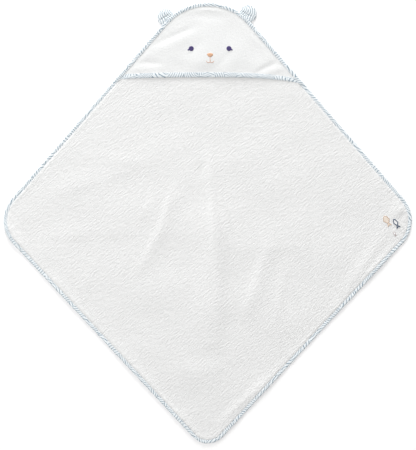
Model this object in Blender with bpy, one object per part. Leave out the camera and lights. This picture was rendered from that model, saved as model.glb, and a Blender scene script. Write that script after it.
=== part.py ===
"""Hooded baby towel laid flat on its back, built from its sewn pieces.

Metres, +Z up, +Y towards the hood. The cloth lies on z = 0 and the origin is the centre of the
towel's bounding box on that surface. The terry square and its bound edge are cut at three fold
lines, where the towel wraps over a baby: a wing on each side and the foot.
"""

import math

import bmesh
import bpy
from mathutils import Vector
from mathutils.geometry import delaunay_2d_cdt

MM = 0.001

# ---- Driving dimensions -------------------------------------------------------------------

# Square of cloth on its corner: centre line to the sharp corners before they are rounded
SIDE_CORNER_X = 534.5 * MM
HOOD_CORNER_Y = 616.0 * MM
FOOT_CORNER_Y = 574.5 * MM
SIDE_RADIUS = 83.0 * MM
HOOD_RADIUS = 141.0 * MM
FOOT_RADIUS = 51.0 * MM

# Layers
GAP = 0.3 * MM
TERRY_THICK = 3.0 * MM
TERRY_RIM_THICK = 1.2 * MM
TERRY_SHOULDER = 3.0 * MM
HOOD_THICK = 2.0 * MM
HOOD_RIM_THICK = 1.2 * MM
BINDING_SKIN = 0.6 * MM
BINDING_WIDTH = 12.0 * MM
STITCH_THICK = 0.4 * MM
STITCH_WIDE = 0.6 * MM
STITCH_INSET = 1.5 * MM

# Hood: its depth from the towel's top edge to the middle of its hem, how far the hem's ends drop,
# and the height that its middle stands up to leave the pocket for the head
HOOD_DEPTH = 184.2 * MM
HEM_END_DROP = 11.0 * MM
POCKET_RISE = 6.5 * MM
PLATEAU_MARGIN = 5.0 * MM
LIFT_RAMP = 10.0 * MM

# Wrap folds, as shares of the way from the centre to the towel's side and foot edges
WING_FOLD_SHARE = 0.5335
FOOT_FOLD_SHARE = 0.6046
FOLD_CLEARANCE = 0.2 * MM

# Face: its distance from the towel's centre line, and heights above the middle of the hem
FACE_X = 6.0 * MM
EYE_SPACING = 94.0 * MM
EYE_UP = 71.0 * MM
EYE_RADIUS = 6.3 * MM
LASH_REACH = 3.4 * MM
LASH_WIDTH = 3.2 * MM
LASH_ANGLE = math.radians(-22.0)
NOSE_UP = 55.0 * MM
NOSE_WIDE = 15.0 * MM
NOSE_HIGH = 9.0 * MM
NOSE_FLARE = 0.12
MOUTH_UP = 36.0 * MM
MOUTH_WIDE = 20.0 * MM
MOUTH_LOW_SHARE = 0.24
MOUTH_CURL = 3.6 * MM
MOUTH_DIP = 1.4 * MM
MOUTH_LINE = 1.3 * MM
THREAD_RAISE = 0.6 * MM
BACKING_THICK = 0.5 * MM
BACKING_WIDE = 124.0 * MM
BACKING_HIGH = 60.0 * MM
BACKING_UP = 56.5 * MM

# Ears
EAR_ANGLE = math.radians(43.0)
EAR_RADIUS = 21.0 * MM
EAR_REACH = 9.9 * MM
EAR_THICK = 4.2 * MM
EAR_SKIN = 0.6 * MM
EAR_CROWN_SHARE = 0.55

# Fish, as (name, length, distance in from the right edge, height over the widest line, colour)
FISH = (
    ("fish_large", 27.0 * MM, 63.0 * MM, 0.7 * MM, (0.85, 0.66, 0.54)),
    ("fish_medium", 22.5 * MM, 40.0 * MM, -5.8 * MM, (0.25, 0.31, 0.40)),
    ("fish_small", 11.5 * MM, 43.0 * MM, -32.3 * MM, (0.82, 0.76, 0.76)),
)
FISH_TILT = math.radians(120.0)

# Shares of a fish's length
FISH_WIDTH = 0.40
FISH_BODY = 0.76
FISH_WAIST = 0.07
FISH_TAIL = 0.34
FISH_NOTCH = 0.10

# Straight pieces that stand in for a curve
CORNER_STEPS = 10
TOP_ARC_STEPS = 14
EYE_STEPS = 26
NOSE_STEPS = 28
MOUTH_STEPS = 20
OVAL_STEPS = 32
FISH_STEPS = 10
EAR_STEPS = 28
EAR_CROWN_STEPS = 4

# ---- Dimensions that follow ----------------------------------------------------------------

TERRY_EDGE = BINDING_SKIN + GAP
RIM_END = BINDING_WIDTH + GAP
FIELD_START = RIM_END + TERRY_SHOULDER
TERRY_RIM_LOW = BINDING_SKIN + GAP
TERRY_RIM_TOP = TERRY_RIM_LOW + TERRY_RIM_THICK
HOOD_RIM_LOW = TERRY_RIM_TOP + GAP
HOOD_LIFT = HOOD_RIM_THICK + GAP
EDGE_TOP = TERRY_RIM_TOP + GAP + BINDING_SKIN
HOOD_SEAT = max(TERRY_THICK, TERRY_RIM_TOP) + GAP + BINDING_SKIN + GAP
HEM_START = FIELD_START + GAP
EAR_HINGE_Z = max(EDGE_TOP + HOOD_LIFT, EAR_THICK) + GAP
FOLD_Z = max(EDGE_TOP, TERRY_THICK) + GAP + STITCH_THICK + FOLD_CLEARANCE

# Share of the pocket's rise at each inset from the side edges
RISE_STEPS = ((0.0, 0.0), (0.25, 0.15), (0.5, 0.5), (0.75, 0.85), (1.0, 1.0))

WHITE_TERRY = (0.87, 0.87, 0.86)
WHITE_VELOUR = (0.91, 0.91, 0.90)
PRINT_COTTON = (0.80, 0.85, 0.88)
WHITE_THREAD = (0.88, 0.90, 0.91)
INDIGO_THREAD = (0.07, 0.05, 0.16)
PEACH_THREAD = (0.80, 0.45, 0.27)


# ---- Outline of the towel -------------------------------------------------------------------


def unit_normal(start, end):
    """Outward normal of a side that runs counter-clockwise from start to end."""
    along = (end - start).normalized()
    return Vector((along.y, -along.x))


def make_outline():
    """Rounded outline of the cloth: its sides as (normal, offset) and its corners as arcs."""
    reach = {}
    for corner_y, radius in ((HOOD_CORNER_Y, HOOD_RADIUS), (FOOT_CORNER_Y, FOOT_RADIUS)):
        half_angle = math.atan2(SIDE_CORNER_X, corner_y)
        reach[corner_y] = corner_y - radius * (1 / math.sin(half_angle) - 1)
    middle_y = (reach[FOOT_CORNER_Y] - reach[HOOD_CORNER_Y]) / 2
    points = [
        Vector((0, middle_y + HOOD_CORNER_Y)),
        Vector((-SIDE_CORNER_X, middle_y)),
        Vector((0, middle_y - FOOT_CORNER_Y)),
        Vector((SIDE_CORNER_X, middle_y)),
    ]
    radii = (HOOD_RADIUS, SIDE_RADIUS, FOOT_RADIUS, SIDE_RADIUS)
    sides = []
    for i in range(4):
        normal = unit_normal(points[i], points[(i + 1) % 4])
        sides.append((normal, normal.dot(points[i])))
    corners = []
    for i, (point, radius) in enumerate(zip(points, radii)):
        before, after = sides[i - 1][0], sides[i][0]
        centre = point - (before + after) * radius / (1 + before.dot(after))
        corners.append((centre, radius, before, after))
    return sides, corners


SIDES, CORNERS = make_outline()
HOOD_LEFT, FOOT_LEFT, FOOT_RIGHT, HOOD_RIGHT = range(4)
TOP, LEFT, BOTTOM, RIGHT = range(4)

TOP_EDGE_Y = CORNERS[TOP][0].y + HOOD_RADIUS
FOOT_EDGE_Y = CORNERS[BOTTOM][0].y - FOOT_RADIUS
SIDE_EDGE_X = CORNERS[RIGHT][0].x + SIDE_RADIUS
WIDEST_Y = CORNERS[RIGHT][0].y
HEM_Y = TOP_EDGE_Y - HOOD_DEPTH


def inset(x, y):
    """Distance of a point inside the towel from its outer edge."""
    point = Vector((x, y))
    for centre, radius, before, after in CORNERS:
        away = point - centre
        if before.cross(away) > 0 and away.cross(after) > 0 and away.dot(before + after) > 0:
            return radius - away.length
    return min(offset - normal.dot(point) for normal, offset in SIDES)


PLATEAU_INSET = inset(FACE_X + BACKING_WIDE / 2, HEM_Y + BACKING_UP) - PLATEAU_MARGIN


# A station is (point on the outer edge, step): the point at an inset is point - step * inset.


def at(station, distance):
    """Plan point of a station at an inset from the outer edge."""
    return station[0] - station[1] * distance


def cut_at_x(side, x):
    """Station where a side meets the line x, cut along that line."""
    normal, offset = SIDES[side]
    return Vector((x, (offset - normal.x * x) / normal.y)), Vector((0, 1 / normal.y))


def cut_at_y(side, y):
    """Station where a side meets the line y, cut along that line."""
    normal, offset = SIDES[side]
    return Vector(((offset - normal.y * y) / normal.x, y)), Vector((1 / normal.x, 0))


def across(side, point):
    """Station straight across a side, from the point of it nearest to a plan point."""
    normal, offset = SIDES[side]
    return point + normal * (offset - normal.dot(point)), normal.copy()


def corner_stations(corner, steps):
    """Stations round one rounded corner, counter-clockwise."""
    centre, radius, before, after = CORNERS[corner]
    first = math.atan2(before.y, before.x)
    turn = before.angle(after)
    found = []
    for i in range(steps + 1):
        angle = first + turn * i / steps
        out = Vector((math.cos(angle), math.sin(angle)))
        found.append((centre + out * radius, out))
    return found


# ---- Hood hem ------------------------------------------------------------------------------


def hem_half_width():
    """Half the hem's width, between the towel's outer edges."""
    normal, offset = SIDES[HOOD_RIGHT]
    return (offset - normal.y * (HEM_Y - HEM_END_DROP)) / normal.x


def hem_height(x):
    """Y of the hem's outer edge, which drops towards its ends."""
    return HEM_Y - HEM_END_DROP * abs(x / hem_half_width()) ** 4


def hem_point(hand, distance, above):
    """Plan point at an inset from the side edge and a height above the hem; hand is -1 or 1."""
    normal, offset = SIDES[HOOD_RIGHT]
    x = 0.0
    for _ in range(40):
        x = (offset - distance - normal.y * (hem_height(x) + above)) / normal.x
    return Vector((hand * x, hem_height(x) + above))


def rise_insets():
    """Insets at which the hood's slope changes."""
    return [FIELD_START + (PLATEAU_INSET - FIELD_START) * share for share, _ in RISE_STEPS]


def hem_insets():
    """Insets of the stations along half of the hem, from its end to near its middle."""
    middle = inset(0, HEM_Y)
    rest = [PLATEAU_INSET + (middle - PLATEAU_INSET) * share for share in (0.25, 0.5, 0.75)]
    return rise_insets()[1:] + rest


def hem_row(above, first_insets):
    """Plan points along the hem at one height above it, from the left end to the right."""
    insets = first_insets + hem_insets()
    left = [hem_point(-1, distance, above) for distance in insets]
    right = [hem_point(1, distance, above) for distance in reversed(insets)]
    return left + [Vector((0, hem_height(0) + above))] + right


def hood_low(x, y):
    """Height of the hood's underside."""
    distance = inset(x, y)
    if distance < FIELD_START:
        share = max(0.0, (distance - RIM_END) / TERRY_SHOULDER)
        return HOOD_RIM_LOW + (HOOD_SEAT - HOOD_RIM_LOW) * share
    share = min(1.0, (distance - FIELD_START) / (PLATEAU_INSET - FIELD_START))
    for (start, low), (end, high) in zip(RISE_STEPS, RISE_STEPS[1:]):
        if share <= end:
            return HOOD_SEAT + POCKET_RISE * (low + (high - low) * (share - start) / (end - start))
    return HOOD_SEAT + POCKET_RISE


def hood_thickness(x, y):
    """Thickness of the hood cloth, thinner where its edges are bound."""
    above_hem = y - hem_height(x)
    room = min(inset(x, y), above_hem) - RIM_END
    share = min(1.0, max(0.0, room / TERRY_SHOULDER))
    return HOOD_RIM_THICK + (HOOD_THICK - HOOD_RIM_THICK) * share


def hood_top(x, y):
    """Height of the hood's upper side."""
    return hood_low(x, y) + hood_thickness(x, y)


# Each wing folds past the end of the hem, where the bound edge steps up onto the hood.
WING_FOLD_X = max(SIDE_EDGE_X * WING_FOLD_SHARE, hem_half_width() + 2 * LIFT_RAMP)
FOOT_FOLD_Y = FOOT_EDGE_Y * FOOT_FOLD_SHARE


# ---- Shapes --------------------------------------------------------------------------------


def material(name, colour, roughness):
    """One plain material, made once."""
    found = bpy.data.materials.get(name)
    if found:
        return found
    made = bpy.data.materials.new(name)
    made.use_nodes = True
    shader = made.node_tree.nodes["Principled BSDF"]
    shader.inputs["Base Color"].default_value = (*colour, 1)
    shader.inputs["Roughness"].default_value = roughness
    shader.inputs["Metallic"].default_value = 0
    return made


TERRY = ("white_terry", WHITE_TERRY, 0.95)
VELOUR = ("white_velour", WHITE_VELOUR, 0.92)
PRINT = ("print_cotton", PRINT_COTTON, 0.85)
THREAD = ("white_thread", WHITE_THREAD, 0.7)


def finish(name, mesh, finish_of, origin=None, body=None):
    """Object from a bmesh in world coordinates, with its origin moved to a joint's axis."""
    bmesh.ops.recalc_face_normals(mesh, faces=mesh.faces)
    origin = origin or Vector((0, 0, 0))
    bmesh.ops.translate(mesh, verts=mesh.verts, vec=-origin)
    data = bpy.data.meshes.new(name)
    mesh.to_mesh(data)
    mesh.free()
    data.materials.append(material(*finish_of))
    made = bpy.data.objects.new(name, data)
    made.location = origin
    bpy.context.scene.collection.objects.link(made)
    if body:
        made.parent = body
        made.matrix_parent_inverse = body.matrix_world.inverted()
    return made


def slab(name, outline, creases, low, high, finish_of, origin=None, body=None):
    """Sheet of cloth: a plan outline filled in, with creases, between two height functions."""
    points = list(outline)
    count = len(points)
    edges = [(i, (i + 1) % count) for i in range(count)]
    for crease in creases:
        start = len(points)
        points.extend(crease)
        edges.extend((i, i + 1) for i in range(start, len(points) - 1))
    plan, _, faces, _, _, _ = delaunay_2d_cdt(points, edges, [], 1, 1e-6)
    mesh = bmesh.new()
    lower = [mesh.verts.new((p.x, p.y, low(p.x, p.y))) for p in plan]
    upper = [mesh.verts.new((p.x, p.y, high(p.x, p.y))) for p in plan]
    rim = {}
    for face in faces:
        mesh.faces.new([lower[i] for i in reversed(face)])
        mesh.faces.new([upper[i] for i in face])
        for a, b in zip(face, face[1:] + face[:1]):
            rim[frozenset((a, b))] = None if frozenset((a, b)) in rim else (a, b)
    for pair in rim.values():
        if pair:
            a, b = pair
            mesh.faces.new((lower[a], lower[b], upper[b], upper[a]))
    unused = [v for v in mesh.verts if not v.link_faces]
    bmesh.ops.delete(mesh, geom=unused, context="VERTS")
    return finish(name, mesh, finish_of, origin, body)


def loft(name, rings, finish_of, origin=None, body=None):
    """Closed solid through rings of as many points each, capped at both ends."""
    mesh = bmesh.new()
    rows = [[mesh.verts.new(point) for point in ring] for ring in rings]
    for row, following in zip(rows, rows[1:]):
        for i in range(len(row)):
            j = (i + 1) % len(row)
            mesh.faces.new((row[i], row[j], following[j], following[i]))
    mesh.faces.new(reversed(rows[0]))
    mesh.faces.new(rows[-1])
    return finish(name, mesh, finish_of, origin, body)


def edge_run(name, stations, profile, finish_of, lifts=None, origin=None, body=None):
    """Solid swept along stations; profile(lift) gives its (inset, height) points."""
    lifts = lifts or [0.0] * len(stations)
    rings = []
    for station, lift in zip(stations, lifts):
        rings.append([(*at(station, distance), height) for distance, height in profile(lift)])
    return loft(name, rings, finish_of, origin, body)


def binding_profile(lift):
    """Section of the folded strip round the edge, its upper leg raised by lift."""
    top = EDGE_TOP + lift
    soft = BINDING_SKIN
    return [
        (BINDING_WIDTH, 0),
        (BINDING_WIDTH, BINDING_SKIN),
        (BINDING_SKIN, BINDING_SKIN),
        (BINDING_SKIN, top - BINDING_SKIN),
        (BINDING_WIDTH, top - BINDING_SKIN),
        (BINDING_WIDTH, top),
        (soft, top),
        (0, top - soft),
        (0, soft),
        (soft, 0),
    ]


def stitch_profile(lift):
    """Section of the line of stitching on the strip."""
    near = BINDING_WIDTH - STITCH_INSET
    far = near - STITCH_WIDE
    low = EDGE_TOP + lift + GAP
    return [(near, low), (near, low + STITCH_THICK), (far, low + STITCH_THICK), (far, low)]


# ---- Bodies --------------------------------------------------------------------------------


def joint_empty(name, place):
    """Empty on a joint's axis that carries what moves with it."""
    made = bpy.data.objects.new(name, None)
    made.location = place
    bpy.context.scene.collection.objects.link(made)
    bpy.context.view_layer.update()
    return made


# ---- Terry square and its bound edge ---------------------------------------------------------


def edge_parts():
    """Stations of each stretch of the outer edge, counter-clockwise, cut at the fold lines."""
    near, far = WING_FOLD_X - GAP / 2, WING_FOLD_X + GAP / 2
    above, below = FOOT_FOLD_Y + GAP / 2, FOOT_FOLD_Y - GAP / 2
    hem_end = {side: hem_point(hand, 0, 0) for side, hand in ((HOOD_LEFT, -1), (HOOD_RIGHT, 1))}
    normal = SIDES[HOOD_RIGHT][0]
    ramp = Vector((normal.y, -normal.x)) * LIFT_RAMP
    hood = [cut_at_x(HOOD_RIGHT, near)]
    hood.append(across(HOOD_RIGHT, hem_end[HOOD_RIGHT] + ramp))
    hood.append(across(HOOD_RIGHT, hem_end[HOOD_RIGHT]))
    hood += corner_stations(TOP, TOP_ARC_STEPS)
    hood.append(across(HOOD_LEFT, hem_end[HOOD_LEFT]))
    hood.append(across(HOOD_LEFT, hem_end[HOOD_LEFT] + Vector((-ramp.x, ramp.y))))
    hood.append(cut_at_x(HOOD_LEFT, -near))
    return {
        "hood": hood,
        "wing_left": [
            cut_at_x(HOOD_LEFT, -far),
            *corner_stations(LEFT, CORNER_STEPS),
            cut_at_x(FOOT_LEFT, -far),
        ],
        "side_left": [cut_at_x(FOOT_LEFT, -near), cut_at_y(FOOT_LEFT, above)],
        "foot": [
            cut_at_y(FOOT_LEFT, below),
            *corner_stations(BOTTOM, CORNER_STEPS),
            cut_at_y(FOOT_RIGHT, below),
        ],
        "side_right": [cut_at_y(FOOT_RIGHT, above), cut_at_x(FOOT_RIGHT, near)],
        "wing_right": [
            cut_at_x(FOOT_RIGHT, far),
            *corner_stations(RIGHT, CORNER_STEPS),
            cut_at_x(HOOD_RIGHT, far),
        ],
    }


def terry_low(x, y):
    """Height of the terry's underside, raised where the edge is bound."""
    share = min(1.0, max(0.0, (inset(x, y) - RIM_END) / TERRY_SHOULDER))
    return TERRY_RIM_LOW * (1 - share)


def terry_top(x, y):
    """Height of the terry's upper side, lower where the edge is bound."""
    share = min(1.0, max(0.0, (inset(x, y) - RIM_END) / TERRY_SHOULDER))
    return TERRY_RIM_TOP + (TERRY_THICK - TERRY_RIM_TOP) * share


def terry_panel(name, runs, origin=None, body=None):
    """One panel of terry bounded by the edge runs and by the fold lines between them."""
    outline = [at(station, TERRY_EDGE) for run in runs for station in run]
    creases = []
    for run in runs:
        for distance in (RIM_END, FIELD_START):
            creases.append([at(station, distance) for station in run])
    return slab(name, outline, creases, terry_low, terry_top, TERRY, origin, body)


def build_cloth(bodies):
    """Terry panels, the bound edge and its stitching."""
    parts = edge_parts()
    ends = len(parts["hood"])
    hood_lifts = [0.0, 0.0] + [HOOD_LIFT] * (ends - 4) + [0.0, 0.0]
    terry_panel("terry_middle", [parts["hood"], parts["side_left"], parts["side_right"]])
    for name in ("wing_left", "wing_right", "foot"):
        body = bodies[name]
        terry_panel("terry_" + name, [parts[name]], body.location, body)
    for name, stations in parts.items():
        body = bodies.get(name)
        origin = body.location if body else None
        lifts = hood_lifts if name == "hood" else None
        edge_run("binding_" + name, stations, binding_profile, PRINT, lifts, origin, body)
        edge_run("stitching_" + name, stations, stitch_profile, THREAD, lifts, origin, body)


# ---- Hood ------------------------------------------------------------------------------------


def side_line(distance, above):
    """Plan points at one inset, from the right end of the hem over the top to the left end."""
    line = [hem_point(1, distance, above)]
    line += [at(station, distance) for station in corner_stations(TOP, TOP_ARC_STEPS)]
    return line + [hem_point(-1, distance, above)]


def build_hood():
    """Hood panel and the strip and stitching along its hem."""
    edge = TERRY_EDGE
    crease_insets = [RIM_END] + rise_insets()
    outline = side_line(edge, edge) + hem_row(edge, crease_insets[:2])
    creases = [side_line(distance, edge) for distance in crease_insets]
    creases += [hem_row(above, [edge] + crease_insets[:2]) for above in (RIM_END, FIELD_START)]
    slab("hood_panel", outline, creases, hood_low, hood_top, VELOUR)

    strip = [
        (BINDING_WIDTH, -GAP - BINDING_SKIN),
        (BINDING_WIDTH, -GAP),
        (BINDING_SKIN, -GAP),
        (BINDING_SKIN, HOOD_RIM_THICK + GAP),
        (BINDING_WIDTH, HOOD_RIM_THICK + GAP),
        (BINDING_WIDTH, HOOD_RIM_THICK + GAP + BINDING_SKIN),
        (BINDING_SKIN, HOOD_RIM_THICK + GAP + BINDING_SKIN),
        (0, HOOD_RIM_THICK + GAP),
        (0, -GAP),
        (BINDING_SKIN, -GAP - BINDING_SKIN),
    ]
    hem_run("binding_hood_hem", strip, PRINT)
    near = BINDING_WIDTH - STITCH_INSET
    low = HOOD_RIM_THICK + GAP + BINDING_SKIN + GAP
    bead = [
        (near, low),
        (near, low + STITCH_THICK),
        (near - STITCH_WIDE, low + STITCH_THICK),
        (near - STITCH_WIDE, low),
    ]
    hem_run("stitching_hood_hem", bead, THREAD)


def hem_run(name, section, finish_of):
    """Solid swept along the hem; section gives (height above hem, height over hood_low)."""
    rows = []
    for above, height in section:
        row = hem_row(above, [HEM_START])
        rows.append([(p.x, p.y, hood_low(p.x, p.y) + height) for p in row])
    loft(name, list(zip(*rows)), finish_of)


# ---- Face ------------------------------------------------------------------------------------


def patch(name, outline, colour, roughness=0.55):
    """Embroidered patch on the flat middle of the hood."""
    low = HOOD_SEAT + POCKET_RISE + HOOD_THICK + GAP
    finish_of = (name, colour, roughness)
    slab(name, outline, [], lambda x, y: low, lambda x, y: low + THREAD_RAISE, finish_of)


def eye_outline(hand):
    """Round eye with one short lash at its lower outer side."""
    centre = Vector((FACE_X + hand * EYE_SPACING / 2, HEM_Y + EYE_UP))
    direction = LASH_ANGLE if hand > 0 else math.pi - LASH_ANGLE
    half = math.asin(LASH_WIDTH / 2 / EYE_RADIUS)
    points = []
    for i in range(EYE_STEPS + 1):
        angle = direction + half + (2 * math.pi - 2 * half) * i / EYE_STEPS
        points.append(centre + Vector((math.cos(angle), math.sin(angle))) * EYE_RADIUS)
    out = Vector((math.cos(direction), math.sin(direction)))
    side = Vector((-out.y, out.x))
    for across_share, reach_share in ((-0.8, 0.75), (-0.3, 1.0), (0.3, 1.0), (0.8, 0.75)):
        tip = out * (EYE_RADIUS + LASH_REACH * reach_share) + side * LASH_WIDTH / 2 * across_share
        points.append(centre + tip)
    return points


def nose_outline():
    """Rounded nose, a little wider at its top."""
    centre = Vector((FACE_X, HEM_Y + NOSE_UP))
    points = []
    for i in range(NOSE_STEPS):
        angle = 2 * math.pi * i / NOSE_STEPS
        up = math.sin(angle)
        wide = NOSE_WIDE / 2 * (1 + NOSE_FLARE * up)
        points.append(centre + Vector((wide * math.cos(angle), NOSE_HIGH / 2 * up)))
    return points


def mouth_curve(x):
    """Height of the smile's centre line above its two low points."""
    low_at = MOUTH_WIDE * MOUTH_LOW_SHARE
    if abs(x) < low_at:
        return MOUTH_DIP * (1 - abs(x) / low_at) ** 2
    return MOUTH_CURL * ((abs(x) - low_at) / (MOUTH_WIDE / 2 - low_at)) ** 2


def mouth_outline():
    """Upright line under the nose with a short curve to each side."""
    half = MOUTH_LINE / 2
    near = 0.1 * MM
    lower, upper = [], []
    for i in range(MOUTH_STEPS + 1):
        x = MOUTH_WIDE * (i / MOUTH_STEPS - 0.5)
        slope = (mouth_curve(x + near) - mouth_curve(x - near)) / (2 * near)
        normal = Vector((-slope, 1)).normalized() * half
        middle = Vector((x, mouth_curve(x)))
        lower.append(middle - normal)
        upper.append(middle + normal)
    stem_top = NOSE_UP - NOSE_HIGH / 2 - GAP - MOUTH_UP
    stem_low = mouth_curve(half) + half
    right = [p for p in reversed(upper) if p.x > MOUTH_LINE]
    left = [p for p in reversed(upper) if p.x < -MOUTH_LINE]
    stem = [
        Vector((half, stem_low)),
        Vector((half, stem_top)),
        Vector((-half, stem_top)),
        Vector((-half, stem_low)),
    ]
    place = Vector((FACE_X, HEM_Y + MOUTH_UP))
    return [place + p for p in lower + right + stem + left]


def build_face():
    """Eyes, nose and mouth, and the soft patch that covers their stitches inside the hood."""
    patch("eye_left", eye_outline(-1), INDIGO_THREAD)
    patch("eye_right", eye_outline(1), INDIGO_THREAD)
    patch("nose", nose_outline(), PEACH_THREAD)
    patch("mouth", mouth_outline(), PEACH_THREAD)
    high = HOOD_SEAT + POCKET_RISE - GAP
    centre = Vector((FACE_X, HEM_Y + BACKING_UP))
    oval = []
    for i in range(OVAL_STEPS):
        angle = 2 * math.pi * i / OVAL_STEPS
        reach = Vector((BACKING_WIDE / 2 * math.cos(angle), BACKING_HIGH / 2 * math.sin(angle)))
        oval.append(centre + reach)
    slab("face_backing", oval, [], lambda x, y: high - BACKING_THICK, lambda x, y: high, VELOUR)


# ---- Fish on the right wing -----------------------------------------------------------------


def fish_outline(length, centre):
    """Plain fish: a pointed oval body and a notched tail, its nose along FISH_TILT."""
    waist = length * FISH_WAIST / 2
    upper = [Vector((length / 2, 0))]
    for i in range(1, FISH_STEPS + 1):
        share = i / FISH_STEPS
        wide = length * FISH_WIDTH / 2 * math.sin(math.pi * share)
        upper.append(Vector((length * (0.5 - FISH_BODY * share), max(waist, wide))))
    upper.append(Vector((-length / 2, length * FISH_TAIL / 2)))
    lower = [Vector((p.x, -p.y)) for p in reversed(upper[1:])]
    notch = [Vector((length * (FISH_NOTCH - 0.5), 0))]
    turn = Vector((math.cos(FISH_TILT), math.sin(FISH_TILT)))
    placed = []
    for p in upper + notch + lower:
        placed.append(centre + turn * p.x + Vector((-turn.y, turn.x)) * p.y)
    return placed


def build_fish(body):
    """Three small embroidered fish near the right corner."""
    low = TERRY_THICK + GAP
    high = low + THREAD_RAISE
    for name, length, from_edge, up, colour in FISH:
        outline = fish_outline(length, Vector((SIDE_EDGE_X - from_edge, WIDEST_Y + up)))
        finish_of = (name, colour, 0.6)
        slab(name, outline, [], lambda x, y: low, lambda x, y: high, finish_of, body.location, body)


# ---- Ears ------------------------------------------------------------------------------------


def ear_frame(hand):
    """Point on the towel's edge at an ear's base, its outward direction and its tangent."""
    centre, radius, _, _ = CORNERS[TOP]
    out = Vector((hand * math.sin(EAR_ANGLE), math.cos(EAR_ANGLE)))
    return centre + out * radius, out, Vector((out.y, -out.x))


def ear_ring(hand, shrink, height):
    """Outline of the ear, a disc cut off along its base, drawn in by shrink, at one height."""
    base, out, along = ear_frame(hand)
    radius = EAR_RADIUS - shrink
    drop = EAR_REACH - GAP - shrink
    open_angle = math.acos(max(-1.0, min(1.0, drop / radius)))
    points = []
    for i in range(EAR_STEPS + 1):
        angle = open_angle + (2 * math.pi - 2 * open_angle) * i / EAR_STEPS - math.pi / 2
        sideways, outward = radius * math.cos(angle), EAR_REACH + radius * math.sin(angle)
        place = base + along * sideways + out * outward
        points.append((place.x, place.y, height))
    return points if hand > 0 else points[::-1]


def ear_dome(share):
    """(drawn in, height share) of the ear's crowned upper side, from rim to middle."""
    return EAR_RADIUS * EAR_CROWN_SHARE * share, math.sin(math.pi / 2 * share)


def build_ear(hand, side, body):
    """Back, filling and crowned front of one ear."""
    rim = EAR_SKIN + GAP
    front_rise = EAR_THICK - rim - EAR_SKIN
    back = [ear_ring(hand, 0, 0), ear_ring(hand, 0, EAR_SKIN)]
    loft(f"ear_{side}_back", back, PRINT, body.location, body)

    outer, inner, filling = [], [], []
    for i in range(EAR_CROWN_STEPS + 1):
        drawn, rise = ear_dome(i / EAR_CROWN_STEPS)
        outer.append(ear_ring(hand, drawn, rim + EAR_SKIN + front_rise * rise))
        inner.append(ear_ring(hand, EAR_SKIN + drawn, rim + front_rise * rise))
        filling.append(ear_ring(hand, EAR_SKIN + GAP + drawn, rim + (front_rise - GAP) * rise))
    shell = [*reversed(inner), ear_ring(hand, 0, rim), *outer]
    loft(f"ear_{side}_front", shell, PRINT, body.location, body)
    loft(f"ear_{side}_filling", filling, VELOUR, body.location, body)


def main():
    for old in list(bpy.data.objects):
        bpy.data.objects.remove(old, do_unlink=True)
    bodies = {
        "wing_left": joint_empty("wing_left_axis", (-WING_FOLD_X, 0, FOLD_Z)),
        "wing_right": joint_empty("wing_right_axis", (WING_FOLD_X, 0, FOLD_Z)),
        "foot": joint_empty("foot_axis", (0, FOOT_FOLD_Y, FOLD_Z)),
    }
    build_cloth(bodies)
    build_hood()
    build_face()
    build_fish(bodies["wing_right"])
    for hand, side in ((-1, "left"), (1, "right")):
        base = ear_frame(hand)[0]
        build_ear(hand, side, joint_empty(f"ear_{side}_axis", (base.x, base.y, EAR_HINGE_Z)))


main()
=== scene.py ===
"""Looks of a hooded baby towel laid flat: terry square, velour hood, printed binding, padded ears.

Metres, +Z up, +Y towards the hood. Every height is over the surface that the towel lies on.
"""

import math

import bmesh
import bpy
import numpy as np
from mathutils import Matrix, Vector
from mathutils.bvhtree import BVHTree
from mathutils.geometry import delaunay_2d_cdt


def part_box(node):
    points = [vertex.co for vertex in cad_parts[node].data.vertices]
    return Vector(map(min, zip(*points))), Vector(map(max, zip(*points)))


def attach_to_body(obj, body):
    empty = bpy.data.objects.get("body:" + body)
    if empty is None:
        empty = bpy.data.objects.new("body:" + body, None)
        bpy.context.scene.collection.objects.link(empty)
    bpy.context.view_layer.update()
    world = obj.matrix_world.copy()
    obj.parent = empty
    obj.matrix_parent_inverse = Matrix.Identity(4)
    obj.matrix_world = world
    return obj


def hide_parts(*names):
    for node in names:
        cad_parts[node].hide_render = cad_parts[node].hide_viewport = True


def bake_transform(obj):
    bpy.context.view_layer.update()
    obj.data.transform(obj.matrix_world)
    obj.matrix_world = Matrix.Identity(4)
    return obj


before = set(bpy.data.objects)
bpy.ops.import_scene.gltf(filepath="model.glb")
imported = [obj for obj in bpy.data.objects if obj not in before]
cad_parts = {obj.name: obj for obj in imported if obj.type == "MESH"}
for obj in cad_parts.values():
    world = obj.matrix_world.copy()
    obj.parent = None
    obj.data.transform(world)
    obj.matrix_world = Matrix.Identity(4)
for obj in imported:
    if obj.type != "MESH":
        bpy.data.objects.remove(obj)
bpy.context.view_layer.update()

MM = 0.001

# ---- Sizes of the towel, as in its CAD model ----

SIDE_CORNER_X = 534.5 * MM
HOOD_CORNER_Y = 616.0 * MM
FOOT_CORNER_Y = 574.5 * MM
SIDE_RADIUS = 83.0 * MM
HOOD_RADIUS = 141.0 * MM
FOOT_RADIUS = 51.0 * MM
WING_FOLD_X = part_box("terry_middle")[1].x
FOOT_FOLD_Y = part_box("terry_middle")[0].y
TOWEL_TOP_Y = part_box("binding_hood")[1].y
HEM_WIDTH = 12.0 * MM
HEM_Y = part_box("binding_hood_hem")[1].y - HEM_WIDTH
CORNER_POINTS = 48

# ---- Cloth layers ----

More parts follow.
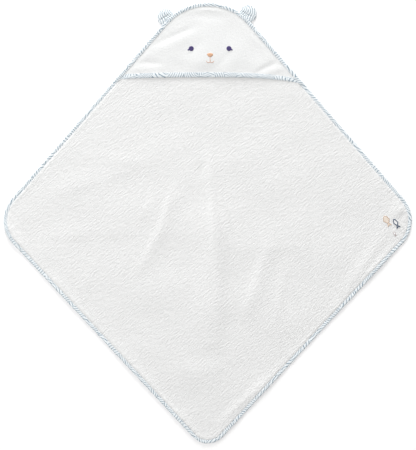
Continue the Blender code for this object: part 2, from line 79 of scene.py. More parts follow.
CLOTH_EDGE = 0.9 * MM  # cloth ends this far inside the towel's outer edge
TIP_GAP = 0.3 * MM  # and stops this short of a rounded tip
CLOTH_STEP = 3.3 * MM
MIDDLE_COLUMNS = 160
WING_GRID = (96, 140)
FOOT_GRID = (90, 130)
HOOD_GRID = (110, 230)
TERRY_RIM_TOP = 1.8 * MM
TERRY_TOP = 3.1 * MM
TERRY_THICK = 3.0 * MM
EDGE_LIFT_FADE = 17.0 * MM  # cloth beside a lifted edge is back on the floor beyond this
FOLD_CALM = 40.0 * MM  # the terry's relief is low this close to a fold line
UPPER_BINDING = 8.4 * MM  # upper leg of the edge strip along the towel's upper sides
LOWER_BINDING = 9.4 * MM
BINDING_STEP = 2.4 * MM
BINDING_TOP = 2.7 * MM
BINDING_WAVE = 0.22 * MM  # unevenness of its height and fullness
BINDING_CLOTH = 0.5 * MM
HOOD_LIFT = 1.8 * MM  # extra height of the edge strip where it holds the hood too
HOOD_RIM_TOP = 3.5 * MM
HOOD_RIM_THICK = 1.2 * MM
HOOD_THICK = 1.3 * MM
HOOD_CREST = 6.3 * MM
HOOD_SLOPE = 105.0 * MM  # the hood reaches its full height this far inside its rim
HOOD_TOP_SINK = 1.9 * MM  # its crest is this much lower at the towel's top
HOOD_HEM_SINK = 1.0 * MM  # and this much lower at the hem
HEM_HALF = 236.0 * MM
HEM_DROP_LEFT = 6.0 * MM
HEM_DROP_RIGHT = 16.0 * MM
HEM_END_INSET = 3.5 * MM  # the hem strip's ends lie this far inside the outer edge
STITCH_PITCH = 3.2 * MM
STITCH_HALF = 1.15 * MM
STITCH_RADIUS = 0.27 * MM
EDGE_STITCH_INSET = 1.6 * MM
HEM_STITCH_INSET = 1.5 * MM
HEM_STITCH_RISE = 0.42 * MM
HEM_SEAM_START = 3.0  # where the hem strip starts on its own roll of print, in metres
BLEND_REACH = 16.0 * MM  # length beside each fold line, listed with the folds; no part is bent here

# Uneven waves of the cloth: wavelength, height, seed and stretch along the ribs
TERRY_SWELL = (150 * MM, 0.55 * MM, 3, 1.0)
TERRY_COCKLE = (26 * MM, 0.03 * MM, 11, 2.5)
HOOD_SWELL = (70 * MM, 0.35 * MM, 5, 1.0)
# Gathers beside the stitching: waves per metre over 2 pi, phase and share
PUCKER_WAVES = ((330, 0.0, 1.0), (211, 1.3, 0.7), (523, 4.0, 0.5))
RIPPLE_LENGTHS = (0.0085, 0.013, 0.019, 0.031, 0.052)
# Seeds of the strips' uneven height, fullness and edge
EDGE_SEEDS = (21, 22, 23)
HEM_SEEDS = (31, 32, 33)

# Soft folds, in millimetres: start, end, width on the left and right hand, height
TERRY_FOLDS = (
    (138, -400, 28, -495, 11, 11, 1.3),
    (233, -308, 178, -363, 10, 10, 0.8),
    (0, 168, 22, -70, 15, 10, 3.0),
    (27, 40, 16, -335, 26, 44, 4.3),
    (-8, 150, -24, 112, 8, 9, -0.9),
    (-86, 84, -122, -40, 22, 11, 1.9),
    (-118, -14, -168, -118, 21, 11, 1.4),
    (-140, 60, -165, 10, 14, 9, 0.7),
    (152, -55, 96, -225, 22, 13, 1.9),
    (190, -110, 176, -225, 12, 10, 0.9),
    (430, -40, 350, -158, 12, 16, 1.6),
    (517, 63, 466, 20, 8, 22, 2.3),
    (-395, 70, -200, 130, 24, 16, 0.8),
    (-330, 170, -150, 150, 16, 24, 0.7),
    (-400, -30, -180, -22, 18, 14, 0.5),
    (70, -62, 260, -58, 12, 16, 0.4),
    (-70, -330, -10, -410, 24, 34, 0.7),
    (60, -255, 110, -330, 24, 24, 0.7),
)
HOOD_FOLDS = (
    (-128, 445, -32, 487, 8, 8, -1.0),
    (-168, 411, -22, 471, 16, 16, 0.85),
    (-170, 400, -114, 396, 7, 7, -1.0),
    (-200, 380, -140, 384, 8, 8, 0.5),
    (-98, 401, -54, 383, 14, 14, -0.8),
    (-48, 537, 46, 530, 12, 8, 1.4),
    (-40, 515, 40, 508, 9, 9, -0.5),
    (116, 371, 174, 401, 7, 7, -1.2),
    (150, 371, 202, 392, 9, 9, 0.8),
    (22, 385, 62, 428, 10, 10, -0.6),
    (-12, 452, -42, 420, 9, 9, -0.4),
    (-34, 398, 18, 400, 16, 16, 0.5),
    (104, 464, 142, 434, 7, 7, 0.4),
)
# Places where the bound edge stands off the floor, in millimetres: x, y, reach and height
EDGE_LIFTS = (
    (400, -100, 60, 1.6),
    (318, -196, 34, 0.9),
    (130, -400, 48, 1.6),
    (46, -486, 34, 1.2),
    (-488, -30, 40, 3.0),
    (-345, -180, 90, 1.5),
    (-170, -360, 90, 1.6),
    (-60, -470, 60, 1.2),
)

# ---- Face, ears and view ----

BACKING_SIZE = (0.124, 0.06)
EYE_RADIUS = 6.3 * MM
EAR_RADIUS = 21.2 * MM
EAR_MIDDLE_Z = 3.2 * MM
EAR_TUCK = 1.6 * MM  # an ear's cloth goes this far under the edge strip
EAR_STEP = 1.15 * MM
EAR_CLOTH = 0.4 * MM
EAR_PRINT_SCALE = 1.25  # the print is a little finer on the ears
EAR_SCALE = 10.0  # an ear is blown up at this many times its size
EAR_PUFF = 5.2 * MM
PUFF_FRAMES = 24
# Pleats at an ear's base, in millimetres: place, lean, length and depth
EAR_PLEATS = ((-7, 0.3, 7, 1.2), (1.5, -0.1, 9, 1.5), (8.5, -0.45, 8, 1.1))
# Ears: side, hand, angle from the towel's upright and how far the ear's middle stands out
EARS = (
    ("left", -1, math.radians(44.6), 7.0 * MM),
    ("right", 1, math.radians(41.2), 11.5 * MM),
)
CAMERA_HEIGHT = 4.0
VIEW_LENGTH = 1.1165  # length of the floor that fits the view's height
VIEW_CENTRE = (0.0008, -0.0042)

# ---- Print and thread colours ----

TERRY_WHITE = (0.75, 0.75, 0.745)
VELOUR_WHITE = (0.735, 0.74, 0.737)
PRINT_GROUND = (0.74, 0.78, 0.80)
PRINT_LINE = (0.165, 0.24, 0.30)
STITCH_WHITE = (0.82, 0.85, 0.87)
INDIGO = (0.062, 0.045, 0.15)
PEACH = (0.62, 0.365, 0.23)
PALE_PEACH = (0.62, 0.36, 0.25)
SAND = (0.76, 0.665, 0.575)
SAND_EDGE = (0.55, 0.41, 0.31)
SLATE = (0.07, 0.10, 0.155)
FISH_WHITE = (0.88, 0.88, 0.88)
ROSE_GREY = (0.5, 0.42, 0.41)


# ---- Outline ----


def towel_outline():
    """Sides as (normal, offset) and corners as (centre, radius, first normal, last normal)."""
    reach = {}
    for corner_y, radius in ((HOOD_CORNER_Y, HOOD_RADIUS), (FOOT_CORNER_Y, FOOT_RADIUS)):
        half_angle = math.atan2(SIDE_CORNER_X, corner_y)
        reach[corner_y] = corner_y - radius * (1 / math.sin(half_angle) - 1)
    middle_y = (reach[FOOT_CORNER_Y] - reach[HOOD_CORNER_Y]) / 2
    points = [
        np.array((0, middle_y + HOOD_CORNER_Y)),
        np.array((-SIDE_CORNER_X, middle_y)),
        np.array((0, middle_y - FOOT_CORNER_Y)),
        np.array((SIDE_CORNER_X, middle_y)),
    ]
    sides = []
    for i, start in enumerate(points):
        along = points[(i + 1) % 4] - start
        normal = np.array((along[1], -along[0])) / np.hypot(*along)
        sides.append((normal, normal @ start))
    corners = []
    for i, radius in enumerate((HOOD_RADIUS, SIDE_RADIUS, FOOT_RADIUS, SIDE_RADIUS)):
        before, after = sides[i - 1][0], sides[i][0]
        centre = points[i] - (before + after) * radius / (1 + before @ after)
        corners.append((centre, radius, before, after))
    return sides, corners


SIDES, CORNERS = towel_outline()
HOOD_LEFT, FOOT_LEFT, FOOT_RIGHT, HOOD_RIGHT = range(4)
TOP, LEFT, BOTTOM, RIGHT = range(4)


def smooth(t):
    """Soft step from 0 to 1."""
    t = np.clip(t, 0, 1)
    return t * t * (3 - 2 * t)


def inset(x, y):
    """Distance of plan points inside the towel's outer edge."""
    found = np.full(np.shape(x), np.inf)
    for normal, offset in SIDES:
        found = np.minimum(found, offset - normal[0] * x - normal[1] * y)
    for centre, radius, before, after in CORNERS:
        ax, ay = x - centre[0], y - centre[1]
        past_first = before[0] * ay - before[1] * ax > 0
        before_last = ax * after[1] - ay * after[0] > 0
        outward = (before + after)[0] * ax + (before + after)[1] * ay > 0
        found = np.where(past_first & before_last & outward, radius - np.hypot(ax, ay), found)
    return found


def half_width(y, distance):
    """Half the towel's width at each y, drawn in by distance."""
    y = np.asarray(y, float)
    found = np.full(y.shape, np.inf)
    for side in (FOOT_RIGHT, HOOD_RIGHT):
        normal, offset = SIDES[side]
        found = np.minimum(found, (offset - distance - normal[1] * y) / normal[0])
    for corner in (TOP, BOTTOM):
        centre, radius, before, after = CORNERS[corner]
        up = 1 if corner == TOP else -1
        beyond = up * (y - centre[1]) > (radius - distance) * abs(before[1])
        chord = np.sqrt(np.maximum(0, (radius - distance) ** 2 - (y - centre[1]) ** 2))
        found = np.where(beyond, chord, found)
    centre, radius, before, after = CORNERS[RIGHT]
    local = (y - centre[1]) / (radius - distance)
    rounded = (local > before[1]) & (local < after[1])
    chord = centre[0] + (radius - distance) * np.sqrt(np.maximum(0, 1 - local**2))
    return np.where(rounded, chord, found)


def half_spans(x, distance):
    """Lower and upper y of the towel's edge at each x of its right half, drawn in by distance."""
    x = np.asarray(x, float)
    centre, radius, before, after = CORNERS[RIGHT]
    chord = np.sqrt(np.maximum(0, (radius - distance) ** 2 - (x - centre[0]) ** 2))
    found = []
    for side, normal, up in ((FOOT_RIGHT, before, -1), (HOOD_RIGHT, after, 1)):
        straight = (SIDES[side][1] - distance - normal[0] * x) / normal[1]
        rounded = x > centre[0] + (radius - distance) * normal[0]
        found.append(np.where(rounded, centre[1] + up * chord, straight))
    return found


def edge_path():
    """The whole outer edge, counter-clockwise from the right end of the hood's arc, as arrays."""
    points, normals = [], []
    for centre, radius, before, after in CORNERS:
        first = math.atan2(before[1], before[0])
        turn = math.acos(before @ after)
        for angle in np.linspace(first, first + turn, CORNER_POINTS):
            out = np.array((math.cos(angle), math.sin(angle)))
            points.append(centre + out * radius)
            normals.append(out)
    points.append(points[0])
    normals.append(normals[0])
    points, normals = np.array(points), np.array(normals)
    length = np.concatenate([[0], np.cumsum(np.hypot(*np.diff(points, axis=0).T))])
    return points, normals, length


EDGE_POINTS, EDGE_NORMALS, EDGE_LENGTH = edge_path()


def edge_at(s):
    """Plan points and outward normals at lengths along the edge."""
    s = np.mod(s, EDGE_LENGTH[-1])
    point = np.stack([np.interp(s, EDGE_LENGTH, EDGE_POINTS[:, i]) for i in (0, 1)], -1)
    normal = np.stack([np.interp(s, EDGE_LENGTH, EDGE_NORMALS[:, i]) for i in (0, 1)], -1)
    return point, normal / np.linalg.norm(normal, axis=-1, keepdims=True)


def crossing(side, axis, value):
    """Length along the edge where a side meets x = value (axis 0) or y = value (axis 1)."""
    start = (side + 1) * CORNER_POINTS - 1
    a, b = EDGE_POINTS[start], EDGE_POINTS[(start + 1) % len(EDGE_POINTS)]
    share = (value - a[axis]) / (b[axis] - a[axis])
    return EDGE_LENGTH[start] + share * np.hypot(*(b - a))


def edge_runs():
    """Start and end length of each stretch of the edge, cut at the fold lines."""
    cuts = [
        crossing(HOOD_LEFT, 0, -WING_FOLD_X),
        crossing(FOOT_LEFT, 0, -WING_FOLD_X),
        crossing(FOOT_LEFT, 1, FOOT_FOLD_Y),
        crossing(FOOT_RIGHT, 1, FOOT_FOLD_Y),
        crossing(FOOT_RIGHT, 0, WING_FOLD_X),
        crossing(HOOD_RIGHT, 0, WING_FOLD_X),
    ]
    names = ("wing_left", "side_left", "foot", "side_right", "wing_right")
    runs = dict(zip(names, zip(cuts, cuts[1:])))
    runs["hood"] = (cuts[-1], cuts[0] + EDGE_LENGTH[-1])
    return runs


# ---- Heights of the cloth ----


def folds(x, y, lines):
    """Sum of soft folds, each raised or sunk along its own line."""
    total = np.zeros(np.shape(x))
    for x0, y0, x1, y1, left, right, height in lines:
        dx, dy = (x1 - x0) * MM, (y1 - y0) * MM
        length = math.hypot(dx, dy)
        along = ((x - x0 * MM) * dx + (y - y0 * MM) * dy) / length**2
        across = ((x - x0 * MM) * dy - (y - y0 * MM) * dx) / length
        fade = np.exp(-(np.abs((along - 0.5) / 0.5) ** 3))
        width = np.where(across > 0, right, left) * MM
        total = total + height * MM * fade * np.exp(-((across / width) ** 2))
    return total


def upper_side(y):
    """0 along the towel's lower sides and 1 along its upper sides."""
    return smooth((y + 40 * MM) / (100 * MM))


def binding_width(y):
    """Width of the binding's upper leg, narrower along the upper sides."""
    return LOWER_BINDING + (UPPER_BINDING - LOWER_BINDING) * upper_side(y)


def edge_lift(x, y):
    """How far the bound edge and the cloth beside it stand off the floor."""
    total = np.zeros(np.shape(x))
    for x0, y0, reach, height in EDGE_LIFTS:
        away = ((x - x0 * MM) ** 2 + (y - y0 * MM) ** 2) / (reach * MM) ** 2
        total = total + height * MM * np.exp(-away)
    inside = np.maximum(0, inset(x, y) - binding_width(y))
    return total * np.exp(-((inside / EDGE_LIFT_FADE) ** 2))


def swell(x, y, wavelength, height, seed, stretch):
    """Gentle uneven waves, longer along the ribs of the cloth when stretch is over 1."""
    draws = np.random.default_rng(seed)
    along, across = (x + y) / math.sqrt(2) / stretch, (y - x) / math.sqrt(2)
    total = np.zeros(np.shape(x))
    for _ in range(7):
        angle, phase = draws.uniform(0, 2 * math.pi, 2)
        k = 2 * math.pi / (wavelength * draws.uniform(0.7, 1.5))
        total = total + np.sin(k * (along * math.cos(angle) + across * math.sin(angle)) + phase)
    return total * height / 3.5


def hem_y(x):
    """Y of the hem's lower edge, which drops more at its right end."""
    drop = np.where(x < 0, HEM_DROP_LEFT, HEM_DROP_RIGHT)
    return HEM_Y - drop * np.abs(x / HEM_HALF) ** 3


def edge_pucker(x, y, distance):
    """Small gathers that the binding's stitching pulls into the cloth."""
    along = np.where(x * y > 0, x - y, x + y)
    wave = sum(share * np.sin(along * rate + phase) for rate, phase, share in PUCKER_WAVES)
    return 0.2 * MM * wave * np.exp(-np.maximum(0, distance) / (11 * MM))


def terry_top(x, y):
    """Height of the terry's upper side."""
    distance = inset(x, y) - binding_width(y)
    rim = TERRY_RIM_TOP + (TERRY_TOP - TERRY_RIM_TOP) * smooth((distance + 1.6 * MM) / (3 * MM))
    puff = 0.2 * MM * np.exp(-(((distance - 5 * MM) / (3.5 * MM)) ** 2))
    open_part = smooth((hem_y(x) + 4 * MM - y) / (30 * MM))
    near_fold = np.minimum(np.abs(np.abs(x) - WING_FOLD_X), np.abs(y - FOOT_FOLD_Y))
    calm = 0.35 + 0.65 * smooth(near_fold / FOLD_CALM)
    relief = folds(x, y, TERRY_FOLDS) + swell(x, y, *TERRY_SWELL) + swell(x, y, *TERRY_COCKLE)
    relief = relief * calm * open_part * smooth(distance / (15 * MM))
    gathers = edge_pucker(x, y, distance) * smooth((distance + 2 * MM) / (3 * MM)) * open_part
    return rim + puff * open_part + np.maximum(relief, -0.6 * MM) + gathers + edge_lift(x, y)


def terry_low(x, y):
    """Height of the terry's underside: on the floor, or lifted with a fold."""
    rim = 1.0 * MM * (1 - smooth((inset(x, y) - binding_width(y) + 1 * MM) / (4 * MM)))
    return np.maximum(rim + edge_lift(x, y) + 0.05 * MM, terry_top(x, y) - TERRY_THICK)


def hood_top(x, y):
    """Height of the hood's upper side, lower towards the towel's top and beside the hem."""
    distance = inset(x, y) - binding_width(y)
    above_hem = y - hem_y(x)
    t = np.clip(distance / HOOD_SLOPE, 0, 1)
    crest = HOOD_CREST - HOOD_TOP_SINK * smooth((y - 385 * MM) / (145 * MM))
    crest = crest - HOOD_HEM_SINK * (1 - smooth(above_hem / (45 * MM)))
    base = HOOD_RIM_TOP + (crest - HOOD_RIM_TOP) * (1 - (1 - t) ** 2)
    relief = folds(x, y, HOOD_FOLDS) + swell(x, y, *HOOD_SWELL)
    relief = relief * smooth(distance / (14 * MM)) * (0.25 + 0.75 * smooth(above_hem / (22 * MM)))
    near = np.where(above_hem < distance, above_hem - HEM_WIDTH, distance)
    return base + relief + edge_pucker(x, y, near) * 0.4 * smooth((near + 2 * MM) / (3 * MM))


def hood_low(x, y):
    """Height of the hood's underside."""
    room = np.minimum(inset(x, y) - binding_width(y), y - hem_y(x) - HEM_WIDTH)
    thick = HOOD_RIM_THICK + (HOOD_THICK - HOOD_RIM_THICK) * smooth(room / (3 * MM))
    return hood_top(x, y) - thick


# ---- Meshes ----


def link(made):
    """New object placed in the scene."""
    bpy.context.scene.collection.objects.link(made)
    return made


def make_piece(name, points, faces, finish, plan=None):
    """Smooth-shaded mesh object; plan holds each point's place on the uncut cloth, in metres."""
    mesh = bpy.data.meshes.new(name)
    mesh.from_pydata(np.asarray(points, float).tolist(), [], [list(map(int, f)) for f in faces])
    mesh.polygons.foreach_set("use_smooth", np.ones(len(mesh.polygons), bool))
    plan = np.asarray(points if plan is None else plan, float)[:, :2]
    corners = np.empty(len(mesh.loops), np.int32)
    mesh.loops.foreach_get("vertex_index", corners)
    layer = mesh.uv_layers.new(name="cloth")
    layer.uv.foreach_set("vector", plan[corners].astype(np.float32).ravel())
    mesh.materials.append(finish)
    mesh.update()
    return link(bpy.data.objects.new(name, mesh))


def closed_piece(name, points, faces, finish, plan=None, crease=math.radians(50)):
    """Closed mesh with its faces turned outwards; edges sharper than crease stay crisp."""
    piece = make_piece(name, points, faces, finish, plan)
    work = bmesh.new()
    work.from_mesh(piece.data)
    bmesh.ops.recalc_face_normals(work, faces=work.faces)
    for edge in work.edges:
        edge.smooth = edge.calc_face_angle(0.0) < crease
    work.to_mesh(piece.data)
    work.free()
    return piece


def grid_faces(rows, columns, start=0, closed=False):
    """Quads of a grid of points, optionally joined from the last column to the first."""
    across = np.arange(columns if closed else columns - 1)
    i, j = np.meshgrid(np.arange(rows - 1), across, indexing="ij")
    after = (j + 1) % columns
    a, b = i * columns + j, i * columns + after
    return (np.stack([a, b, b + columns, a + columns], -1).reshape(-1, 4) + start).tolist()


def cloth_shell(name, x, y, top, low, finish):
    """Closed sheet of cloth over a grid of plan points, between two height functions."""
    rows, columns = x.shape
    count = rows * columns
    upper = np.stack([x, y, top(x, y)], -1).reshape(-1, 3)
    lower = np.stack([x, y, low(x, y)], -1).reshape(-1, 3)
    faces = grid_faces(rows, columns)
    faces += [f[::-1] for f in grid_faces(rows, columns, count)]
    index = np.arange(count).reshape(rows, columns)
    rim = np.concatenate([index[0], index[1:, -1], index[-1, -2::-1], index[-2:0:-1, 0]])
    faces += [[b, a, a + count, b + count] for a, b in zip(rim, np.roll(rim, -1))]
    return closed_piece(name, np.concatenate([upper, lower]), faces, finish)


def rim_edges(faces):
    """Edges with a face on one side only, in the direction of that face."""
    rim = {}
    for face in faces:
        for a, b in zip(face, [*face[1:], face[0]]):
            if (b, a) in rim:
                del rim[(b, a)]
            else:
                rim[(a, b)] = True
    return list(rim)


def thin_shell(name, points, faces, thickness, finish, plan):
    """Closed solid between a surface and the same surface moved inwards."""
    points, plan = np.asarray(points, float), np.asarray(plan, float)
    corners = np.array(faces)
    a, b, c = (points[corners[:, i]] for i in range(3))
    turned = np.cross(b - a, c - a)
    normals = np.zeros_like(points)
    for i in range(3):
        np.add.at(normals, corners[:, i], turned)
    normals /= np.linalg.norm(normals, axis=1, keepdims=True)
    count = len(points)
    closed = [list(f) for f in faces] + [[i + count for i in reversed(f)] for f in faces]
    closed += [[j, i, i + count, j + count] for i, j in rim_edges(faces)]
    both = np.concatenate([points, points - normals * thickness])
    return closed_piece(name, both, closed, finish, np.concatenate([plan, plan]))


def swept(name, rings, plan, finish):
    """Closed solid through rings of points, capped at both ends."""
    rings = np.asarray(rings)
    rows, columns = rings.shape[:2]
    faces = grid_faces(rows, columns, closed=True)
    faces.append(list(range(columns)))
    faces.append(list(range((rows - 1) * columns, rows * columns)))
    return closed_piece(name, rings.reshape(-1, 3), faces, finish, plan.reshape(-1, 2))


# ---- Materials ----


def add(tree, kind, inputs=None, **settings):
    """New node with settings on it and values or links on its sockets."""
    made = tree.nodes.new(kind)
    for key, value in settings.items():
        setattr(made, key, value)
    for key, value in (inputs or {}).items():
        if isinstance(value, bpy.types.NodeSocket):
            tree.links.new(value, made.inputs[key])
        else:
            made.inputs[key].default_value = value
    return made


def new_group(name, values, outputs):
    """Empty shader node group over a cloth's plan: its tree, given values and results."""
    tree = bpy.data.node_groups.new(name, "ShaderNodeTree")
    for label, value in {"Vector": (0, 0, 0), **values}.items():
        kind = "NodeSocketVector" if label == "Vector" else "NodeSocketFloat"
        socket = tree.interface.new_socket(label, in_out="INPUT", socket_type=kind)
        socket.default_value = value
    for label in outputs:
        tree.interface.new_socket(label, in_out="OUTPUT", socket_type="NodeSocketFloat")
    given = tree.nodes.new("NodeGroupInput").outputs
    return tree, given, tree.nodes.new("NodeGroupOutput").inputs


def math_node(tree, operation, a, b=0.0, c=0.0):
    """Result of one Math node."""
    return add(tree, "ShaderNodeMath", {0: a, 1: b, 2: c}, operation=operation).outputs[0]


def vector_node(tree, operation, *values):
    """Result of one Vector Math node."""
    made = add(tree, "ShaderNodeVectorMath", dict(enumerate(values)), operation=operation)
    return made.outputs["Value" if operation == "LENGTH" else "Vector"]


def noise_node(tree, vector, scale, detail, distortion=0.0):
    """Outputs of one Noise Texture node."""
    given = {"Vector": vector, "Scale": scale, "Detail": detail, "Distortion": distortion}
    return add(tree, "ShaderNodeTexNoise", given).outputs


def range_node(tree, value, low, high, to_low, to_high, kind="LINEAR"):
    """Value moved from one range to another and held at the ends."""
    given = {"Value": value, "From Min": low, "From Max": high, "To Min": to_low, "To Max": to_high}
    return add(tree, "ShaderNodeMapRange", given, interpolation_type=kind).outputs["Result"]


def pile_group():
    """Looped or sheared pile: ribs that run along the cloth, loops, and a tone that is partly
    random patches and partly painted shade, darker in the pile's hollows.
    """
    values = {"Rib Scale": 130.0, "Rib Length": 0.22, "Loop Scale": 520.0, "Rib Share": 0.6}
    tree, given, result = new_group("cloth_pile", values, ("Height", "Tone And Painted Shade"))
    turn = {"Vector": given["Vector"], "Rotation": (0, 0, math.radians(-44))}
    turned = add(tree, "ShaderNodeMapping", turn).outputs[0]
    stretch = {"X": given["Rib Length"], "Y": 1.0, "Z": 1.0}
    along = add(tree, "ShaderNodeCombineXYZ", stretch).outputs[0]
    stretched = vector_node(tree, "MULTIPLY", turned, along)
    ribs = noise_node(tree, stretched, given["Rib Scale"], 2.0, 0.1)["Fac"]
    leaning = vector_node(tree, "MULTIPLY", turned, (0.62, 1, 1))
    cells = {"Vector": leaning, "Scale": given["Loop Scale"], "Randomness": 0.9}
    loops = add(tree, "ShaderNodeTexVoronoi", cells).outputs["Distance"]
    rounded = math_node(tree, "SUBTRACT", 1.0, math_node(tree, "MULTIPLY", loops, loops))
    patches = noise_node(tree, turned, 16.0, 4.0)["Fac"]
    spread = range_node(tree, ribs, 0.32, 0.68, 0.0, 1.0)
    rib_part = math_node(tree, "MULTIPLY", spread, given["Rib Share"])
    loop_share = math_node(tree, "SUBTRACT", 1.0, given["Rib Share"])
    height = math_node(tree, "MULTIPLY_ADD", rounded, loop_share, rib_part)
    # Tone: a quarter random patches and three quarters painted shade that follows the height,
    # darker in the hollows between loops and ribs.
    tone = math_node(tree, "MULTIPLY_ADD", patches, 0.25, math_node(tree, "MULTIPLY", height, 0.75))
    tree.links.new(height, result["Height"])
    tree.links.new(tone, result["Tone And Painted Shade"])
    return tree


def arc_group():
    """Printed pattern: patches of thin arcs, each patch with its own centre and pitch."""
    values = {"Patch Scale": 36.0, "Line Pitch": 0.0058, "Line Share": 0.24}
    tree, given, result = new_group("arc_print", values, ("Line", "Weave"))
    plan = given["Vector"]
    half = (0.5, 0.5, 0.5)
    wander = vector_node(tree, "SUBTRACT", noise_node(tree, plan, 90.0, 1.0)["Color"], half)
    shifted = vector_node(tree, "MULTIPLY_ADD", wander, (0.0022, 0.0022, 0), plan)
    patches = {"Vector": shifted, "Scale": given["Patch Scale"], "Randomness": 0.85}
    cells = add(tree, "ShaderNodeTexVoronoi", patches, voronoi_dimensions="2D").outputs
    aside = vector_node(tree, "SUBTRACT", cells["Color"], half)
    heading = vector_node(tree, "NORMALIZE", vector_node(tree, "MULTIPLY", aside, (1, 1, 0)))
    centre = vector_node(tree, "MULTIPLY_ADD", heading, (0.027, 0.027, 0), cells["Position"])
    between = vector_node(tree, "SUBTRACT", shifted, centre)
    far = vector_node(tree, "LENGTH", vector_node(tree, "MULTIPLY", between, (1, 1, 0)))
    draw = add(tree, "ShaderNodeSeparateXYZ", {0: cells["Color"]}).outputs["Z"]
    wide = math_node(tree, "MULTIPLY_ADD", draw, 0.5, 0.75)
    pitch = math_node(tree, "MULTIPLY", wide, given["Line Pitch"])
    wave = math_node(tree, "PINGPONG", math_node(tree, "DIVIDE", far, pitch), 0.5)
    edge = math_node(tree, "MULTIPLY", given["Line Share"], 0.5)
    line_end = math_node(tree, "ADD", edge, 0.05)
    line = range_node(tree, wave, edge, line_end, 1.0, 0.0, "SMOOTHSTEP")
    worn = noise_node(tree, plan, 70.0, 2.0)["Fac"]
    kept = range_node(tree, worn, 0.36, 0.56, 0.65, 1.0)
    weave = {"Vector": plan, "Scale": 1600.0, "Randomness": 0.25}
    threads = add(tree, "ShaderNodeTexVoronoi", weave).outputs["Distance"]
    tree.links.new(math_node(tree, "MULTIPLY", line, kept), result["Line"])
    tree.links.new(threads, result["Weave"])
    return tree


def thread_group():
    """Rows of laid thread: a ridge for each thread, a little unevenness along it, and a tone with
    painted shade in the grooves between threads.
    """
    values = {"Thread Scale": 1400.0, "Angle": 0.0}
    tree, given, result = new_group("laid_thread", values, ("Height", "Tone And Painted Shade"))
    turn = {"Vector": given["Vector"], "Angle": given["Angle"]}
    turned = add(tree, "ShaderNodeVectorRotate", turn, rotation_type="Z_AXIS").outputs[0]
    bent = noise_node(tree, turned, 350.0, 2.0)["Fac"]
    across = add(tree, "ShaderNodeSeparateXYZ", {0: turned}).outputs["X"]
    turns = math_node(tree, "MULTIPLY_ADD", across, given["Thread Scale"], bent)
    ridge = math_node(tree, "PINGPONG", turns, 0.5)
    height = math_node(tree, "MULTIPLY", math_node(tree, "SQRT", ridge), 1.4)
    # Tone: random unevenness plus painted shade and painted highlight that follow the height,
    # darker in the grooves and lighter on the ridges.
    tone = math_node(tree, "MULTIPLY_ADD", bent, 0.6, math_node(tree, "MULTIPLY", height, 0.4))
    tree.links.new(height, result["Height"])
    tree.links.new(tone, result["Tone And Painted Shade"])
    return tree


PILE, ARCS, LAID_THREAD = pile_group(), arc_group(), thread_group()


def tinted(colour, share):
    """Colour made darker or lighter by a share."""
    return (*(min(1.0, c * share) for c in colour), 1)


def cloth_finish(name, roughness, sheen, group, values, tone, tones, bump):
    """New cloth material: one of a group's outputs mixes two tones and one raises the surface."""
    made = bpy.data.materials.new(name)
    made.use_nodes = True
    tree = made.node_tree
    shader = tree.nodes["Principled BSDF"]
    shader.inputs["Roughness"].default_value = roughness
    shader.inputs["Metallic"].default_value = 0
    shader.inputs["Specular IOR Level"].default_value = 0.2
    shader.inputs["Sheen Weight"].default_value = sheen
    shader.inputs["Sheen Roughness"].default_value = 0.6
    plan = add(tree, "ShaderNodeUVMap", uv_map="cloth").outputs[0]
    found = add(tree, "ShaderNodeGroup", {"Vector": plan, **values}, node_tree=group).outputs
    mix = {"Factor": found[tone], "A": tones[0], "B": tones[1]}
    mixed = add(tree, "ShaderNodeMix", mix, data_type="RGBA")
    tree.links.new(mixed.outputs["Result"], shader.inputs["Base Color"])
    height, strength, distance = bump
    relief = {"Strength": strength, "Distance": distance, "Height": found[height]}
    raised = add(tree, "ShaderNodeBump", relief)
    tree.links.new(raised.outputs["Normal"], shader.inputs["Normal"])
    return made


def pile_finish(name, colour, sheen, strength, distance, sizes):
    """White pile cloth."""
    # Darker and lighter copies of the white: the darker one paints shade into the pile's hollows as
    # well as into random patches.
    tones = (tinted(colour, 0.95), tinted(colour, 1.05))
    bump = ("Height", strength, distance)
    return cloth_finish(name, 0.96, sheen, PILE, sizes, "Tone And Painted Shade", tones, bump)


def thread_finish(name, colour, angle, thread_scale=1400.0):
    """Shiny embroidery thread laid at an angle."""
    values = {"Thread Scale": thread_scale, "Angle": angle}
    # Darker and lighter copies of the thread's colour paint shade in the grooves and a highlight on
    # the ridges, as well as random unevenness.
    tones = (tinted(colour, 0.8), tinted(colour, 1.14))
    bump = ("Height", 0.5, 0.25 * MM)
    return cloth_finish(name, 0.5, 0.1, LAID_THREAD, values, "Tone And Painted Shade", tones, bump)


def print_finish():
    """Pale cotton printed with blue-grey arcs."""
    tones = (tinted(PRINT_GROUND, 1), tinted(PRINT_LINE, 1))
    bump = ("Weave", 0.25, 0.2 * MM)
    return cloth_finish("printed_cotton", 0.86, 0.15, ARCS, {}, "Line", tones, bump)


TERRY_PILE = {"Rib Scale": 268.0, "Rib Length": 0.32, "Loop Scale": 800.0, "Rib Share": 0.54}
VELOUR_PILE = {"Rib Scale": 330.0, "Rib Length": 0.45, "Loop Scale": 1300.0, "Rib Share": 0.55}
TERRY = pile_finish("looped_terry", TERRY_WHITE, 0.3, 0.95, 1.1 * MM, TERRY_PILE)
VELOUR = pile_finish("sheared_velour", VELOUR_WHITE, 0.35, 0.6, 0.6 * MM, VELOUR_PILE)
PRINT = print_finish()
STITCH = thread_finish("white_stitching", STITCH_WHITE, 0.6, 2600.0)


# ---- Terry square ----


def rows_between(stops, step):
    """Values from the first stop to the last, about a step apart, that meet every stop."""
    parts = []
    for low, high in zip(stops, stops[1:]):
        count = max(2, int(round(abs(high - low) / step)) + 1)
        parts.append(np.linspace(low, high, count)[:-1])
    return np.concatenate([*parts, [stops[-1]]])


